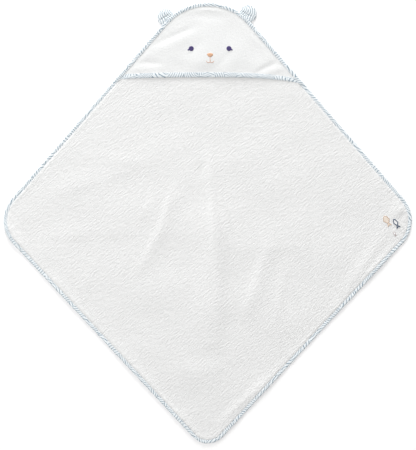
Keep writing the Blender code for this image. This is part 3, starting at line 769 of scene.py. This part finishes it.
def span_grid(rows, low, high, columns):
    """Grid of values: each row runs evenly from its low to its high value."""
    share = np.linspace(0, 1, columns)[None, :]
    return rows[:, None] + 0 * share, low[:, None] + (high - low)[:, None] * share


def closing_rows(start, tip, count):
    """Values from start to a rounded tip, closer together towards the tip."""
    return start + (tip - start) * np.sin(np.linspace(0, math.pi / 2, count))


def terry_middle():
    """Middle of the terry square, under the hood and down to the foot's fold."""
    tip = TOWEL_TOP_Y - CLOTH_EDGE - TIP_GAP
    low_y, high_y = half_spans(np.array([WING_FOLD_X]), CLOTH_EDGE)
    rows = rows_between([FOOT_FOLD_Y, low_y[0], high_y[0], tip], CLOTH_STEP)
    half = np.minimum(half_width(rows, CLOTH_EDGE), WING_FOLD_X)
    y, x = span_grid(rows, -half, half, MIDDLE_COLUMNS)
    return cloth_shell("terry_middle_cloth", x, y, terry_top, terry_low, TERRY)


def terry_wing(hand, side):
    """One wing of the terry square, from its fold to the side corner."""
    tip = CORNERS[RIGHT][0][0] + SIDE_RADIUS - CLOTH_EDGE - TIP_GAP
    columns = closing_rows(WING_FOLD_X, tip, WING_GRID[0])
    low, high = half_spans(columns, CLOTH_EDGE)
    x, y = span_grid(columns, low, high, WING_GRID[1])
    return cloth_shell(f"terry_wing_{side}_cloth", hand * x, y, terry_top, terry_low, TERRY)


def terry_foot():
    """Foot of the terry square, from its fold to the bottom corner."""
    tip = CORNERS[BOTTOM][0][1] - FOOT_RADIUS + CLOTH_EDGE + TIP_GAP
    rows = closing_rows(FOOT_FOLD_Y, tip, FOOT_GRID[0])
    half = half_width(rows, CLOTH_EDGE)
    y, x = span_grid(rows, -half, half, FOOT_GRID[1])
    return cloth_shell("terry_foot_cloth", x, y, terry_top, terry_low, TERRY)


# ---- Binding and stitching ----


def ripple(s, seed):
    """Uneven gathers along a strip."""
    draws = np.random.default_rng(seed)
    total = np.zeros(np.shape(s))
    for wavelength in RIPPLE_LENGTHS:
        turns = EDGE_LENGTH[-1] / wavelength
        k = 2 * math.pi * round(turns) / EDGE_LENGTH[-1]
        total = total + np.sin(k * s + draws.uniform(0, 2 * math.pi)) * draws.uniform(0.6, 1.0)
    return total / 2.4


def binding_top(x, y, s):
    """Height of the edge binding's upper leg, which is raised where it holds the hood too."""
    end_y = hem_y(np.sign(x) * HEM_HALF)
    lift = HOOD_LIFT * smooth((y - end_y + 6 * MM) / (14 * MM))
    return lift, BINDING_TOP + lift + BINDING_WAVE * ripple(s, EDGE_SEEDS[0])


def edge_section(x, y, s):
    """Section of the folded strip at each edge point, as (inset, height) going round it."""
    w = binding_width(y)
    lift, top = binding_top(x, y, s)
    full = 0.42 * MM + BINDING_WAVE * ripple(s, EDGE_SEEDS[1])
    out = 0.5 * MM - 1.3 * MM * upper_side(y) + 0.5 * MM * ripple(s, EDGE_SEEDS[2])
    lower_outside = [
        (0.95 * w, 0.1 * MM),
        (0.5 * w, 0.05 * MM),
        (out + 2.2 * MM, 0.1 * MM),
        (out + 0.8 * MM, 0.5 * MM),
    ]
    bend_outside = [
        (out + 0.1 * MM, lift * 0.3 + 1.3 * MM),
        (out + 0.05 * MM, top - 1.2 * MM),
        (out + 0.5 * MM, top - 0.35 * MM),
        (out + 1.0 * MM, top + full * 0.45),
        (out + 1.5 * MM, top + full * 0.85),
        (out + 2.2 * MM, top + full),
    ]
    upper_outside = [
        (0.42 * w, top + full),
        (0.62 * w, top + full * 0.75),
        (w - 2.4 * MM, top + 0.1 * MM),
        (w - 1.6 * MM, top - 0.15 * MM),
        (w - 0.7 * MM, top),
        (w, top - 0.25 * MM),
    ]
    upper_inside = [
        (w - 0.1 * MM, top - 0.25 * MM - BINDING_CLOTH),
        (w - 1.6 * MM, top - 0.15 * MM - BINDING_CLOTH),
        (0.62 * w, top + full * 0.75 - BINDING_CLOTH),
        (0.42 * w, top + full - BINDING_CLOTH),
        (out + 2.0 * MM, top + full * 0.7 - BINDING_CLOTH),
        (out + 1.0 * MM, top - 0.4 * MM - BINDING_CLOTH),
        (out + 0.65 * MM, lift * 0.3 + 1.5 * MM),
    ]
    lower_inside = [
        (out + 1.3 * MM, 0.1 * MM + BINDING_CLOTH),
        (0.5 * w, 0.05 * MM + BINDING_CLOTH),
        (0.95 * w, 0.1 * MM + BINDING_CLOTH),
    ]
    ring = lower_outside + bend_outside + upper_outside + upper_inside + lower_inside
    return [np.stack([part + 0 * w for part in parts], -1) for parts in zip(*ring)]


def edge_binding(name, start, end):
    """Printed strip folded over one stretch of the edge."""
    count = int((end - start) / BINDING_STEP)
    s = np.linspace(start, end, count)
    point, normal = edge_at(s)
    distance, height = edge_section(point[:, 0], point[:, 1], s)
    plan = point[:, None, :] - normal[:, None, :] * distance[..., None]
    height = height + edge_lift(plan[..., 0], plan[..., 1])
    rings = np.concatenate([plan, height[..., None]], -1)
    steps = np.hypot(np.diff(distance, axis=1), np.diff(height, axis=1))
    across = np.concatenate([np.zeros((count, 1)), np.cumsum(steps, 1)], 1)
    spread = np.stack([s[:, None] + 0 * across, across], -1)
    return swept(f"binding_{name}_strip", rings, spread, PRINT)


def stitch_row(name, places, directions):
    """Row of separate short stitches, each a small rounded bar."""
    around = 6
    sections = [(-1, 0.35), (-0.7, 0.95), (0, 1.1), (0.7, 0.95), (1, 0.35)]
    points, faces, plan = [], [], []
    for place, direction in zip(places, directions):
        side = np.cross((0, 0, 1), direction)
        up = np.cross(direction, side)
        start = len(points)
        for share, wide in sections:
            along = STITCH_HALF * share
            for i in range(around):
                angle = 2 * math.pi * i / around
                spoke = side * math.cos(angle) + up * math.sin(angle) * 0.8
                points.append(place + direction * along + spoke * STITCH_RADIUS * wide)
                plan.append((along + place[0], angle * STITCH_RADIUS + place[1]))
        faces += grid_faces(len(sections), around, start, closed=True)
        faces.append([start + i for i in reversed(range(around))])
        faces.append([start + (len(sections) - 1) * around + i for i in range(around)])
    return make_piece(f"stitching_{name}_thread", points, faces, STITCH, np.array(plan))


def stitch_places(start, end):
    """Evenly spaced middles of the stitches between two lengths."""
    count = int((end - start) / STITCH_PITCH)
    return start + (np.arange(count) + 0.5) * (end - start) / count


def edge_stitching(name, start, end):
    """Stitches that hold one stretch of the edge binding."""
    s = stitch_places(start, end)
    point, normal = edge_at(s)
    x, y = point.T
    distance = binding_width(y) - EDGE_STITCH_INSET
    plan = point - normal * distance[:, None]
    height = binding_top(x, y, s)[1] + 0.02 * MM + edge_lift(*plan.T)
    places = np.concatenate([plan, height[:, None]], 1)
    directions = np.stack([-normal[:, 1], normal[:, 0], 0 * s], -1)
    return stitch_row(name, places, directions)


# ---- Hood ----


def hood_cloth():
    """Velour hood, from its hem to the top of the towel."""
    tip = TOWEL_TOP_Y - CLOTH_EDGE - TIP_GAP
    v = closing_rows(0, 1, HOOD_GRID[0])[:, None]
    u = np.linspace(-1, 1, HOOD_GRID[1])[None, :]
    y = HEM_Y + (tip - HEM_Y) * v + 0 * u
    for _ in range(6):
        x = u * half_width(y, CLOTH_EDGE)
        low = hem_y(x) + CLOTH_EDGE
        y = low + (tip - low) * v
    return cloth_shell("hood_velour", x, y, hood_top, hood_low, VELOUR)


def hem_end(hand):
    """X where the hem strip ends, a little inside the towel's edge."""
    x = hand * 220 * MM
    for _ in range(12):
        x = hand * float(half_width(hem_y(x), HEM_END_INSET))
    return x


def hem_width(x):
    """Width of the hem strip, a little uneven."""
    return HEM_WIDTH + 0.35 * MM * ripple(x + HEM_SEAM_START, HEM_SEEDS[0])


def hem_section(x):
    """Section of the hem strip at each x: (height up the hood, side of the hood, rise off it)."""
    w = hem_width(x)
    full = 0.28 * MM + 0.18 * MM * ripple(x + HEM_SEAM_START, HEM_SEEDS[2])
    behind, edge, front = -1, 0, 1
    return [
        (0.95 * w, behind, -0.45 * MM),
        (0.5 * w, behind, -0.6 * MM),
        (1.8 * MM, behind, -0.6 * MM),
        (0.4 * MM, behind, -0.2 * MM),
        (-0.1 * MM, edge, 0.0),
        (0.35 * MM, front, 0.1 * MM),
        (1.6 * MM, front, full + 0.25 * MM),
        (0.42 * w, front, full + 0.35 * MM),
        (0.65 * w, front, full + 0.3 * MM),
        (w - 2.3 * MM, front, 0.5 * MM),
        (w - 1.5 * MM, front, 0.3 * MM),
        (w - 0.6 * MM, front, 0.45 * MM),
        (w, front, 0.2 * MM),
        (w - 0.1 * MM, front, 0.2 * MM - BINDING_CLOTH),
        (w - 1.5 * MM, front, 0.3 * MM - BINDING_CLOTH),
        (0.42 * w, front, full + 0.3 * MM - BINDING_CLOTH),
        (1.3 * MM, front, 0.35 * MM - BINDING_CLOTH * 0.8),
        (0.6 * MM, edge, 0.0),
        (1.4 * MM, behind, BINDING_CLOTH - 0.6 * MM),
        (0.5 * w, behind, BINDING_CLOTH - 0.6 * MM),
        (0.95 * w, behind, BINDING_CLOTH * 0.9 - 0.45 * MM),
    ]


def hem_strip():
    """Printed strip folded over the hood's lower edge."""
    x = np.linspace(hem_end(-1), hem_end(1), HOOD_GRID[1])
    s = x + HEM_SEAM_START
    out = 0.35 * MM * ripple(s, HEM_SEEDS[1])
    under = smooth((inset(x, hem_y(x) + 4 * MM) - UPPER_BINDING) / (7 * MM))
    press = 0.22 + 0.78 * under
    reach = half_width(hem_y(x), HEM_END_INSET)
    rings = []
    for above, face, rise in hem_section(x):
        y = hem_y(x) + above - out * (above < 3 * MM)
        across = x * half_width(y, HEM_END_INSET) / reach
        upper, lower = hood_top(across, y), hood_low(across, y)
        level = {1: upper, -1: lower, 0: (upper + lower) / 2}[face]
        rings.append(np.stack([across, y, level + rise * press], -1))
    rings = np.stack(rings, 1)
    steps = np.linalg.norm(np.diff(rings, axis=1), axis=-1)
    travelled = np.concatenate([np.zeros((len(x), 1)), np.cumsum(steps, 1)], 1)
    spread = np.stack([s[:, None] + 0 * travelled, travelled], -1)
    return swept("binding_hood_hem_strip", rings, spread, PRINT)


def hem_stitching():
    """Stitches along the top of the hem strip, none under the edge binding."""
    x = stitch_places(hem_end(-1), hem_end(1))
    width = hem_width(x)

    def seam(along):
        y = hem_y(along) + width - HEM_STITCH_INSET
        return np.stack([along, y, hood_top(along, y) + HEM_STITCH_RISE], -1)

    places, ahead = seam(x), seam(x + 1 * MM)
    directions = (ahead - places) / np.linalg.norm(ahead - places, axis=-1, keepdims=True)
    clear = inset(x, places[:, 1]) > UPPER_BINDING + 1 * MM
    return stitch_row("hood_hem", places[clear], directions[clear])


# ---- Embroidery ----


def distance_to_line(points, line):
    """Distance of plan points to a closed polyline."""
    points, line = np.asarray(points, float), np.asarray(line, float)
    found = np.full(len(points), np.inf)
    for a, b in zip(line, np.roll(line, -1, axis=0)):
        along = b - a
        share = np.clip((points - a) @ along / max(along @ along, 1e-18), 0, 1)
        found = np.minimum(found, np.hypot(*(points - a - share[:, None] * along).T))
    return found


def inside_line(points, line):
    """Which plan points lie inside a closed polyline."""
    x, y = np.asarray(points, float).T
    found = np.zeros(len(x), bool)
    for (ax, ay), (bx, by) in zip(line, np.roll(line, -1, axis=0)):
        if ay != by:
            found ^= ((ay > y) != (by > y)) & (x < (bx - ax) * (y - ay) / (by - ay) + ax)
    return found


def filled(outline, grid, clear):
    """Plan points and triangles over an outline, with the grid points that keep clear of it."""
    keep = inside_line(grid, outline) & (distance_to_line(grid, outline) > clear)
    points = np.concatenate([outline, grid[keep]])
    count = len(outline)
    edges = [(i, (i + 1) % count) for i in range(count)]
    flat, _, faces, _, _, _ = delaunay_2d_cdt([Vector(p) for p in points], edges, [], 1, 1e-9)
    return np.array([tuple(p) for p in flat]), faces


def patch_piece(name, outline, ground, crown, soft, finish, sunk=0.35 * MM, step=0.9 * MM):
    """Raised patch of thread on a cloth: crowned over its outline, its underside in the pile."""
    outline = np.asarray(outline, float)
    low, high = outline.min(0), outline.max(0)
    gx, gy = np.meshgrid(np.arange(low[0], high[0], step), np.arange(low[1], high[1], step))
    plan, faces = filled(outline, np.stack([gx.ravel(), gy.ravel()], -1), step * 0.5)
    rise = np.clip(distance_to_line(plan, outline) / soft, 0, 1)
    level = ground(plan[:, 0], plan[:, 1])
    upper = np.column_stack([plan, level + 0.05 * MM + crown * np.sqrt(1 - (1 - rise) ** 2)])
    lower = np.column_stack([plan, level - sunk])
    total = len(plan)
    closed = [list(f) for f in faces] + [[i + total for i in reversed(f)] for f in faces]
    closed += [[b, a, a + total, b + total] for a, b in rim_edges(faces)]
    return closed_piece(name, np.concatenate([upper, lower]), closed, finish)


def directions_along(line, closed=True):
    """Unit direction of a plan line at each of its points, and the direction to its left."""
    ahead, behind = np.roll(line, -1, axis=0), np.roll(line, 1, axis=0)
    if not closed:
        ahead[-1], behind[0] = line[-1], line[0]
    along = ahead - behind
    along /= np.linalg.norm(along, axis=1, keepdims=True)
    return along, np.stack([-along[:, 1], along[:, 0]], -1)


def cord_of_thread(name, lines, ground, radius, finish):
    """Couched thread that follows one or more plan lines over a cloth."""
    around = 8
    points, faces, plan = [], [], []
    for line, closed in lines:
        line = np.asarray(line, float)
        _, left = directions_along(line, closed)
        level = ground(line[:, 0], line[:, 1])
        length = np.concatenate([[0], np.cumsum(np.hypot(*np.diff(line, axis=0).T))])
        start, count = len(points), len(line)
        for i in range(count):
            end = not closed and i in (0, count - 1)
            r = radius * (0.45 if end else 1.0)
            for k in range(around):
                angle = 2 * math.pi * k / around
                spot = line[i] + left[i] * r * math.cos(angle)
                points.append((*spot, level[i] + 0.25 * radius + r * math.sin(angle) * 0.8))
                plan.append((length[i], angle * radius))
        rows = count + 1 if closed else count
        for face in grid_faces(rows, around, closed=True):
            faces.append([start + i % (count * around) for i in face])
        if not closed:
            faces.append([start + k for k in range(around)])
            faces.append([start + (count - 1) * around + k for k in range(around)])
    return closed_piece(name, points, faces, finish, np.array(plan))


def ground_under(piece):
    """Height of a finished cloth at plan points, read from its mesh."""
    corners = [v.co.copy() for v in piece.data.vertices]
    tree = BVHTree.FromPolygons(corners, [list(p.vertices) for p in piece.data.polygons])

    def height(x, y):
        above = [Vector((a, b, 0.05)) for a, b in zip(x, y)]
        found = [tree.ray_cast(spot, Vector((0, 0, -1)))[0] for spot in above]
        return np.array([p.z if p else 0.0 for p in found])

    return height


def centre_of(node):
    """Middle of a CAD node in plan."""
    low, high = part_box(node)
    return np.array(((low.x + high.x) / 2, (low.y + high.y) / 2))


def circle_at(centre, turns, across, up):
    """Points round a centre at the given turns; across and up may change from point to point."""
    return centre + np.stack([across * np.cos(turns), up * np.sin(turns)], -1)


def eye_line(hand, centre):
    """Round eye with one short lash at its lower outer side."""
    lash, lash_half = 10.0 * MM, 2.1 * MM
    direction = math.radians(-24) if hand > 0 else math.radians(204)
    half_angle = math.asin(lash_half / EYE_RADIUS)
    turns = np.linspace(direction + half_angle, direction + 2 * math.pi - half_angle, 40)
    out = np.array((math.cos(direction), math.sin(direction)))
    side = np.array((-out[1], out[0]))
    tip = [
        centre + out * lash * far + side * lash_half * aside
        for aside, far in ((-0.75, 0.9), (-0.3, 1.0), (0.35, 0.99), (0.75, 0.88))
    ]
    return np.concatenate([circle_at(centre, turns, EYE_RADIUS, EYE_RADIUS), tip])


def nose_line(centre):
    """Rounded nose, a little wider at its top."""
    turns = np.linspace(0, 2 * math.pi, 40, endpoint=False)
    return circle_at(centre, turns, 7.4 * MM * (1 + 0.26 * np.sin(turns)), 4.8 * MM)


def mouth_lines(centre, stem_top):
    """Upright stem and a small curve to each side."""
    half, low = 9.6 * MM, centre[1]
    t = np.linspace(-1, 1, 41)
    dip = 1.3 * MM * np.exp(-((t / 0.16) ** 2))
    curl = 3.8 * MM * np.clip((np.abs(t) - 0.42) / 0.58, 0, 1) ** 2
    smile = np.stack([centre[0] + half * t, low + dip + curl], -1)
    stem = np.stack([np.full(14, centre[0]), np.linspace(stem_top, low + 1.0 * MM, 14)], -1)
    return [(smile, False), (stem, False)]


def fish_line(length, wide, centre, tilt):
    """Outline of a plain fish: oval body with a small fin above and below, and a forked tail."""
    body = 0.76
    share = np.linspace(0, 1, 17)[1:]
    half = np.maximum(0.04, wide * np.sin(math.pi * share**0.85) ** 0.8)
    flanks = []
    for hand, place in ((1, 0.5), (-1, 0.62)):
        fin = 0.06 * np.exp(-(((share - place) / 0.09) ** 2))
        flank = [(0.5 - body * a, hand * (b + c)) for a, b, c in zip(share, half, fin)]
        flanks.append(flank + [(-0.36, hand * 0.12), (-0.5, hand * 0.2), (-0.46, hand * 0.09)])
    upper, lower = flanks
    shape = np.array([(0.5, 0.0), *upper, (-0.37, 0.0), *reversed(lower)]) * length
    along = np.array((math.cos(tilt), math.sin(tilt)))
    aside = np.array((-along[1], along[0]))
    return centre + shape[:, :1] * along + shape[:, 1:] * aside


def drawn_in(line, distance):
    """Closed line moved inwards by a small distance."""
    _, inward = directions_along(line)
    if ((line.mean(0) - line) * inward).sum() < 0:
        inward = -inward
    return line + inward * distance


# ---- Ears ----


def ear_frame(hand, angle):
    """Point on the towel's edge at an ear's base, its outward direction and its tangent."""
    centre = CORNERS[TOP][0]
    out = np.array((hand * math.sin(angle), math.cos(angle)))
    return centre + out * HOOD_RADIUS, out, np.array((out[1], -out[0]))


def ear_blank(reach):
    """Flat ear in its own plan, (along the edge, outward): points, triangles and which are rim."""
    start = math.asin(min(1.0, (reach + EAR_TUCK) / EAR_RADIUS))
    turns = np.linspace(-start, math.pi + start, 76)
    rim = np.stack([EAR_RADIUS * np.cos(turns), reach + EAR_RADIUS * np.sin(turns)], -1)
    base = np.linspace(rim[-1], rim[0], 22)[1:-1]
    outline = np.concatenate([rim, base])
    low, high = outline.min(0), outline.max(0)
    rows = []
    for k, v in enumerate(np.arange(low[1], high[1], EAR_STEP * 0.87)):
        shift = EAR_STEP / 2 if k % 2 else 0
        rows += [(u, v) for u in np.arange(low[0] + shift, high[0], EAR_STEP)]
    plan, faces = filled(outline, np.array(rows), EAR_STEP * 0.6)
    return plan, faces, distance_to_line(plan, outline) < 1e-6


def blown_up(blank, pinned):
    """Points of a two-sided cloth blank after it is puffed by pressure, its pinned points held."""
    blank.vertex_groups.new(name="base").add(pinned, 1.0, "REPLACE")
    cloth = blank.modifiers.new("puff", "CLOTH")
    for setting, value in (
        ("quality", 8),
        ("mass", 0.15),
        ("tension_stiffness", 25),
        ("compression_stiffness", 25),
        ("shear_stiffness", 12),
        ("bending_stiffness", 0.35),
        ("air_damping", 4),
        ("use_pressure", True),
        ("uniform_pressure_force", 4.0),
        ("vertex_group_mass", "base"),
    ):
        setattr(cloth.settings, setting, value)
    cloth.settings.effector_weights.gravity = 0
    cloth.collision_settings.use_collision = False
    cloth.point_cache.frame_start = 1
    cloth.point_cache.frame_end = PUFF_FRAMES
    for step in range(1, PUFF_FRAMES + 1):
        bpy.context.scene.frame_set(step)
    settled = blank.evaluated_get(bpy.context.evaluated_depsgraph_get()).to_mesh()
    moved = np.array([v.co[:] for v in settled.vertices])
    bpy.context.scene.frame_set(1)
    return moved


def puffed_ear(name, reach):
    """Ear blown up by cloth simulation: plan, triangles, numbers of the back's points, places."""
    plan, faces, on_rim = ear_blank(reach)
    count = len(plan)
    lower = np.where(on_rim, np.arange(count), np.arange(count) + count)
    rise = 0.5 * MM * (~on_rim)
    points = np.concatenate([np.column_stack([plan, rise]), np.column_stack([plan, -rise])])
    all_faces = [list(f) for f in faces] + [[int(lower[i]) for i in reversed(f)] for f in faces]
    work = bpy.data.meshes.new(name)
    work.from_pydata((points * EAR_SCALE).tolist(), [], all_faces)
    blank = link(bpy.data.objects.new(name, work))
    at_base = np.nonzero(on_rim & (plan[:, 1] < -EAR_TUCK * 0.9))[0]
    moved = blown_up(blank, [int(i) for i in at_base]) / EAR_SCALE
    bpy.data.objects.remove(blank, do_unlink=True)
    bpy.data.meshes.remove(work)
    moved[:, 2] = EAR_PUFF * np.tanh(moved[:, 2] / EAR_PUFF)
    return plan, faces, lower, moved


def ear_points(moved, hand, angle):
    """Puffed ear laid on the floor at its place on the towel's edge, with its crease and pleats."""
    base, out, along = ear_frame(hand, angle)
    u, v, z = moved.T
    upper = smooth((z - 0.4 * MM) / (1.2 * MM))
    crease = 1.9 * MM * np.exp(-(((v - 8.5 * MM - 0.2 * hand * u) / (1.5 * MM)) ** 2))
    crease = crease * np.exp(-(((u + 2 * MM) / (13 * MM)) ** 4))
    for place, lean, length, depth in EAR_PLEATS:
        pleat = np.exp(-(((u - place * MM - lean * v) / (1.0 * MM)) ** 2))
        crease = crease + depth * MM * pleat * np.exp(-(((v - 1 * MM) / (length * MM)) ** 4))
    middle = EAR_MIDDLE_Z - 0.8 * MM * smooth(v / (12 * MM))
    height = np.maximum(middle + z - crease * upper, 0.25 * MM + 0.12 * np.maximum(0, z))
    plan = base + u[:, None] * along + v[:, None] * out
    return np.column_stack([plan, height])


def in_use(faces):
    """Numbers of the points that faces use, and the faces numbered anew over those points."""
    used = sorted({int(i) for f in faces for i in f})
    number = {old: new for new, old in enumerate(used)}
    return used, [[number[int(i)] for i in f] for f in faces]


def ear_cover(name, points, faces, plan):
    """One side of an ear's cover as a thin closed shell."""
    used, renumbered = in_use(faces)
    return thin_shell(name, points[used], renumbered, EAR_CLOTH, PRINT, plan[used])


def build_ear(side, hand, angle, reach):
    """Front cover, back cover and wadding of one ear."""
    plan, faces, lower, moved = puffed_ear(f"ear_{side}_blank", reach)
    points = ear_points(moved, hand, angle)
    print_plan = np.concatenate([plan, plan + (0.1, 0)]) * EAR_PRINT_SCALE
    if hand < 0:
        print_plan = print_plan * (-1, 1)
    front_faces = [list(f) for f in faces]
    back_faces = [[int(lower[i]) for i in reversed(f)] for f in faces]
    front = ear_cover(f"ear_{side}_front_cover", points, front_faces, print_plan)
    back = ear_cover(f"ear_{side}_back_cover", points, back_faces, print_plan)
    inner = moved.copy()
    inner[:, :2] = (inner[:, :2] - (0, reach)) * 0.93 + (0, reach + 0.8 * MM)
    inner[:, 2] *= 0.72
    used, all_faces = in_use(front_faces + back_faces)
    packed = ear_points(inner, hand, angle)[used]
    wadding = closed_piece(f"ear_{side}_wadding", packed, all_faces, VELOUR)
    for piece, part, slot in (
        (front, "front", "print_cotton"),
        (back, "back", "print_cotton"),
        (wadding, "filling", "ear_wadding"),
    ):
        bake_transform(piece)
        stands_for(f"ear_{side}_{part}")


# ---- The whole towel ----


def stands_for(node):
    """The CAD node that a finished piece takes the place of."""
    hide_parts(node)


def build_towel():
    """Terry pieces cut at the fold lines, with their binding and stitching."""
    pieces = {
        "middle": terry_middle(),
        "wing_left": terry_wing(-1, "left"),
        "wing_right": terry_wing(1, "right"),
        "foot": terry_foot(),
    }
    wing_ground = ground_under(pieces["wing_right"])
    bends = {
        "wing_left": ((-WING_FOLD_X, 0, 0), (-WING_FOLD_X - BLEND_REACH, 0, 0)),
        "wing_right": ((WING_FOLD_X, 0, 0), (WING_FOLD_X + BLEND_REACH, 0, 0)),
        "foot": ((0, FOOT_FOLD_Y, 0), (0, FOOT_FOLD_Y - BLEND_REACH, 0)),
    }

    def attach(piece, name):
        if name in bends:
            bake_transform(piece)
        else:
            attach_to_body(piece, "towel")

    trims = {name: [] for name in pieces}
    for name, (start, end) in edge_runs().items():
        for piece, part, slot in (
            (edge_binding(name, start, end), "binding_", "print_cotton"),
            (edge_stitching(name, start, end), "stitching_", "white_thread"),
        ):
            attach(piece, name)
            stands_for(part + name)
            trims[name if name in trims else "middle"].append(piece)
    for name, piece in pieces.items():
        attach(piece, name)
        stands_for("terry_" + name)
    return wing_ground


def build_hood():
    """Hood, its hem strip and stitching, and the soft patch behind the face."""
    cloth, strip, stitching = hood_cloth(), hem_strip(), hem_stitching()
    turns = np.linspace(0, 2 * math.pi, 64, endpoint=False)
    oval = circle_at(centre_of("face_backing"), turns, BACKING_SIZE[0] / 2, BACKING_SIZE[1] / 2)

    def under(x, y):
        return hood_low(x, y) - 0.55 * MM

    rise, soft, step = 0.35 * MM, 3 * MM, 3 * MM
    backing = patch_piece("face_backing_cloth", oval, under, rise, soft, VELOUR, 0.2 * MM, step)
    for piece, node, slot in (
        (cloth, "hood_panel", "hood_velour"),
        (strip, "binding_hood_hem", "print_cotton"),
        (stitching, "stitching_hood_hem", "white_thread"),
        (backing, "face_backing", "hood_velour"),
    ):
        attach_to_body(piece, "towel")
        stands_for(node)
    return ground_under(cloth)


def build_face(ground):
    """Eyes, nose and mouth, stitched in thread on the hood."""
    nose_at = centre_of("nose")
    mouth_at = np.array((nose_at[0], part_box("mouth")[0].y + 0.9 * MM))
    eye_thread = thread_finish("indigo_thread", INDIGO, 0.3)
    nose_thread = thread_finish("peach_thread", PEACH, math.pi / 2)
    mouth_thread = thread_finish("pale_peach_thread", PALE_PEACH, 0.4)
    made = []
    for side, hand in (("left", -1), ("right", 1)):
        name = f"eye_{side}"
        low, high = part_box(name)
        at = np.array(((low.x + high.x) / 2 - hand * 1.7 * MM, high.y - EYE_RADIUS))
        line = eye_line(hand, at)
        eye = patch_piece(name + "_embroidery", line, ground, 0.9 * MM, 1.6 * MM, eye_thread)
        made.append((eye, name, "indigo_thread"))
    line = nose_line(nose_at)
    nose = patch_piece("nose_embroidery", line, ground, 0.9 * MM, 1.8 * MM, nose_thread)
    lines = mouth_lines(mouth_at, nose_at[1] - 4.2 * MM)
    mouth = cord_of_thread("mouth_embroidery", lines, ground, 0.65 * MM, mouth_thread)
    made += [(nose, "nose", "peach_thread"), (mouth, "mouth", "peach_thread")]
    for piece, node, slot in made:
        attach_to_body(piece, "towel")
        stands_for(node)


def build_fish(ground):
    """Three embroidered fish near the right corner."""
    tilt = math.radians(120)
    for node, length, wide, edge, edge_colour, fill_colour, slot in (
        ("fish_large", 27.5 * MM, 0.22, 0.8 * MM, SAND_EDGE, SAND, "sand_thread"),
        ("fish_medium", 24.0 * MM, 0.155, 1.15 * MM, SLATE, FISH_WHITE, "slate_thread"),
        ("fish_small", 12.0 * MM, 0.2, 0.55 * MM, ROSE_GREY, FISH_WHITE, "pale_thread"),
    ):
        line = fish_line(length, wide, centre_of(node), tilt)
        thread = thread_finish(node + "_outline_thread", edge_colour, 0.7)
        filling = thread_finish(node + "_fill_thread", fill_colour, tilt)
        outline = cord_of_thread(node + "_outline", [(line, True)], ground, edge, thread)
        inside = drawn_in(line, edge * 0.4)
        fill = patch_piece(node + "_fill", inside, ground, 0.4 * MM, 1.2 * MM, filling)
        for piece in (outline, fill):
            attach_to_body(piece, "wing_right")
            stands_for(node)


# ---- Floor, light and camera ----


def build_floor():
    """Wide pale floor under the towel."""
    mesh = bpy.data.meshes.new("floor")
    half = 6.0
    corners = [(-half, -half, 0), (half, -half, 0), (half, half, 0), (-half, half, 0)]
    mesh.from_pydata(corners, [], [(0, 1, 2, 3)])
    floor = link(bpy.data.objects.new("floor", mesh))
    paint = bpy.data.materials.new("pale_floor")
    paint.use_nodes = True
    shader = paint.node_tree.nodes["Principled BSDF"]
    shader.inputs["Base Color"].default_value = (0.98, 0.975, 0.975, 1)
    shader.inputs["Roughness"].default_value = 1.0
    shader.inputs["Specular IOR Level"].default_value = 0.0
    mesh.materials.append(paint)


def build_light():
    """Soft studio light from above, from the side and low from the hood's end."""
    world = bpy.data.worlds.new("studio")
    world.use_nodes = True
    sky = world.node_tree.nodes["Background"]
    sky.inputs["Color"].default_value = (1.0, 1.0, 1.0, 1)
    sky.inputs["Strength"].default_value = 0.35
    bpy.context.scene.world = world
    for name, place, size, power in (
        ("overhead_softbox", (-0.3, 0.2, 5.0), 3.4, 108.0),
        ("side_softbox", (-5.0, 1.4, 2.9), 2.6, 112.0),
        ("low_window", (-0.4, 6.2, 1.3), 2.6, 520.0),
        ("far_fill", (4.6, -3.6, 1.7), 2.6, 28.0),
    ):
        lamp = bpy.data.lights.new(name, "AREA")
        lamp.shape = "SQUARE"
        lamp.size = size
        lamp.energy = power
        made = link(bpy.data.objects.new(name, lamp))
        made.location = place
        inwards = Vector((0, 0, 0)) - Vector(place)
        made.rotation_euler = inwards.to_track_quat("-Z", "Y").to_euler()


def build_camera():
    """Camera straight above the towel, with plain colours."""
    lens = bpy.data.cameras.new("camera")
    lens.sensor_fit = "VERTICAL"
    lens.sensor_height = 24.0
    lens.lens = lens.sensor_height * CAMERA_HEIGHT / VIEW_LENGTH
    camera = link(bpy.data.objects.new("camera", lens))
    camera.location = (*VIEW_CENTRE, CAMERA_HEIGHT)
    bpy.context.scene.camera = camera
    bpy.context.scene.view_settings.view_transform = "Standard"
    bpy.context.scene.view_settings.look = "None"


build_floor()
build_light()
build_camera()
WING_GROUND = build_towel()
HOOD_GROUND = build_hood()
build_face(HOOD_GROUND)
build_fish(WING_GROUND)
for EAR_SIDE, EAR_HAND, EAR_ANGLE, EAR_REACH in EARS:
    build_ear(EAR_SIDE, EAR_HAND, EAR_ANGLE, EAR_REACH)
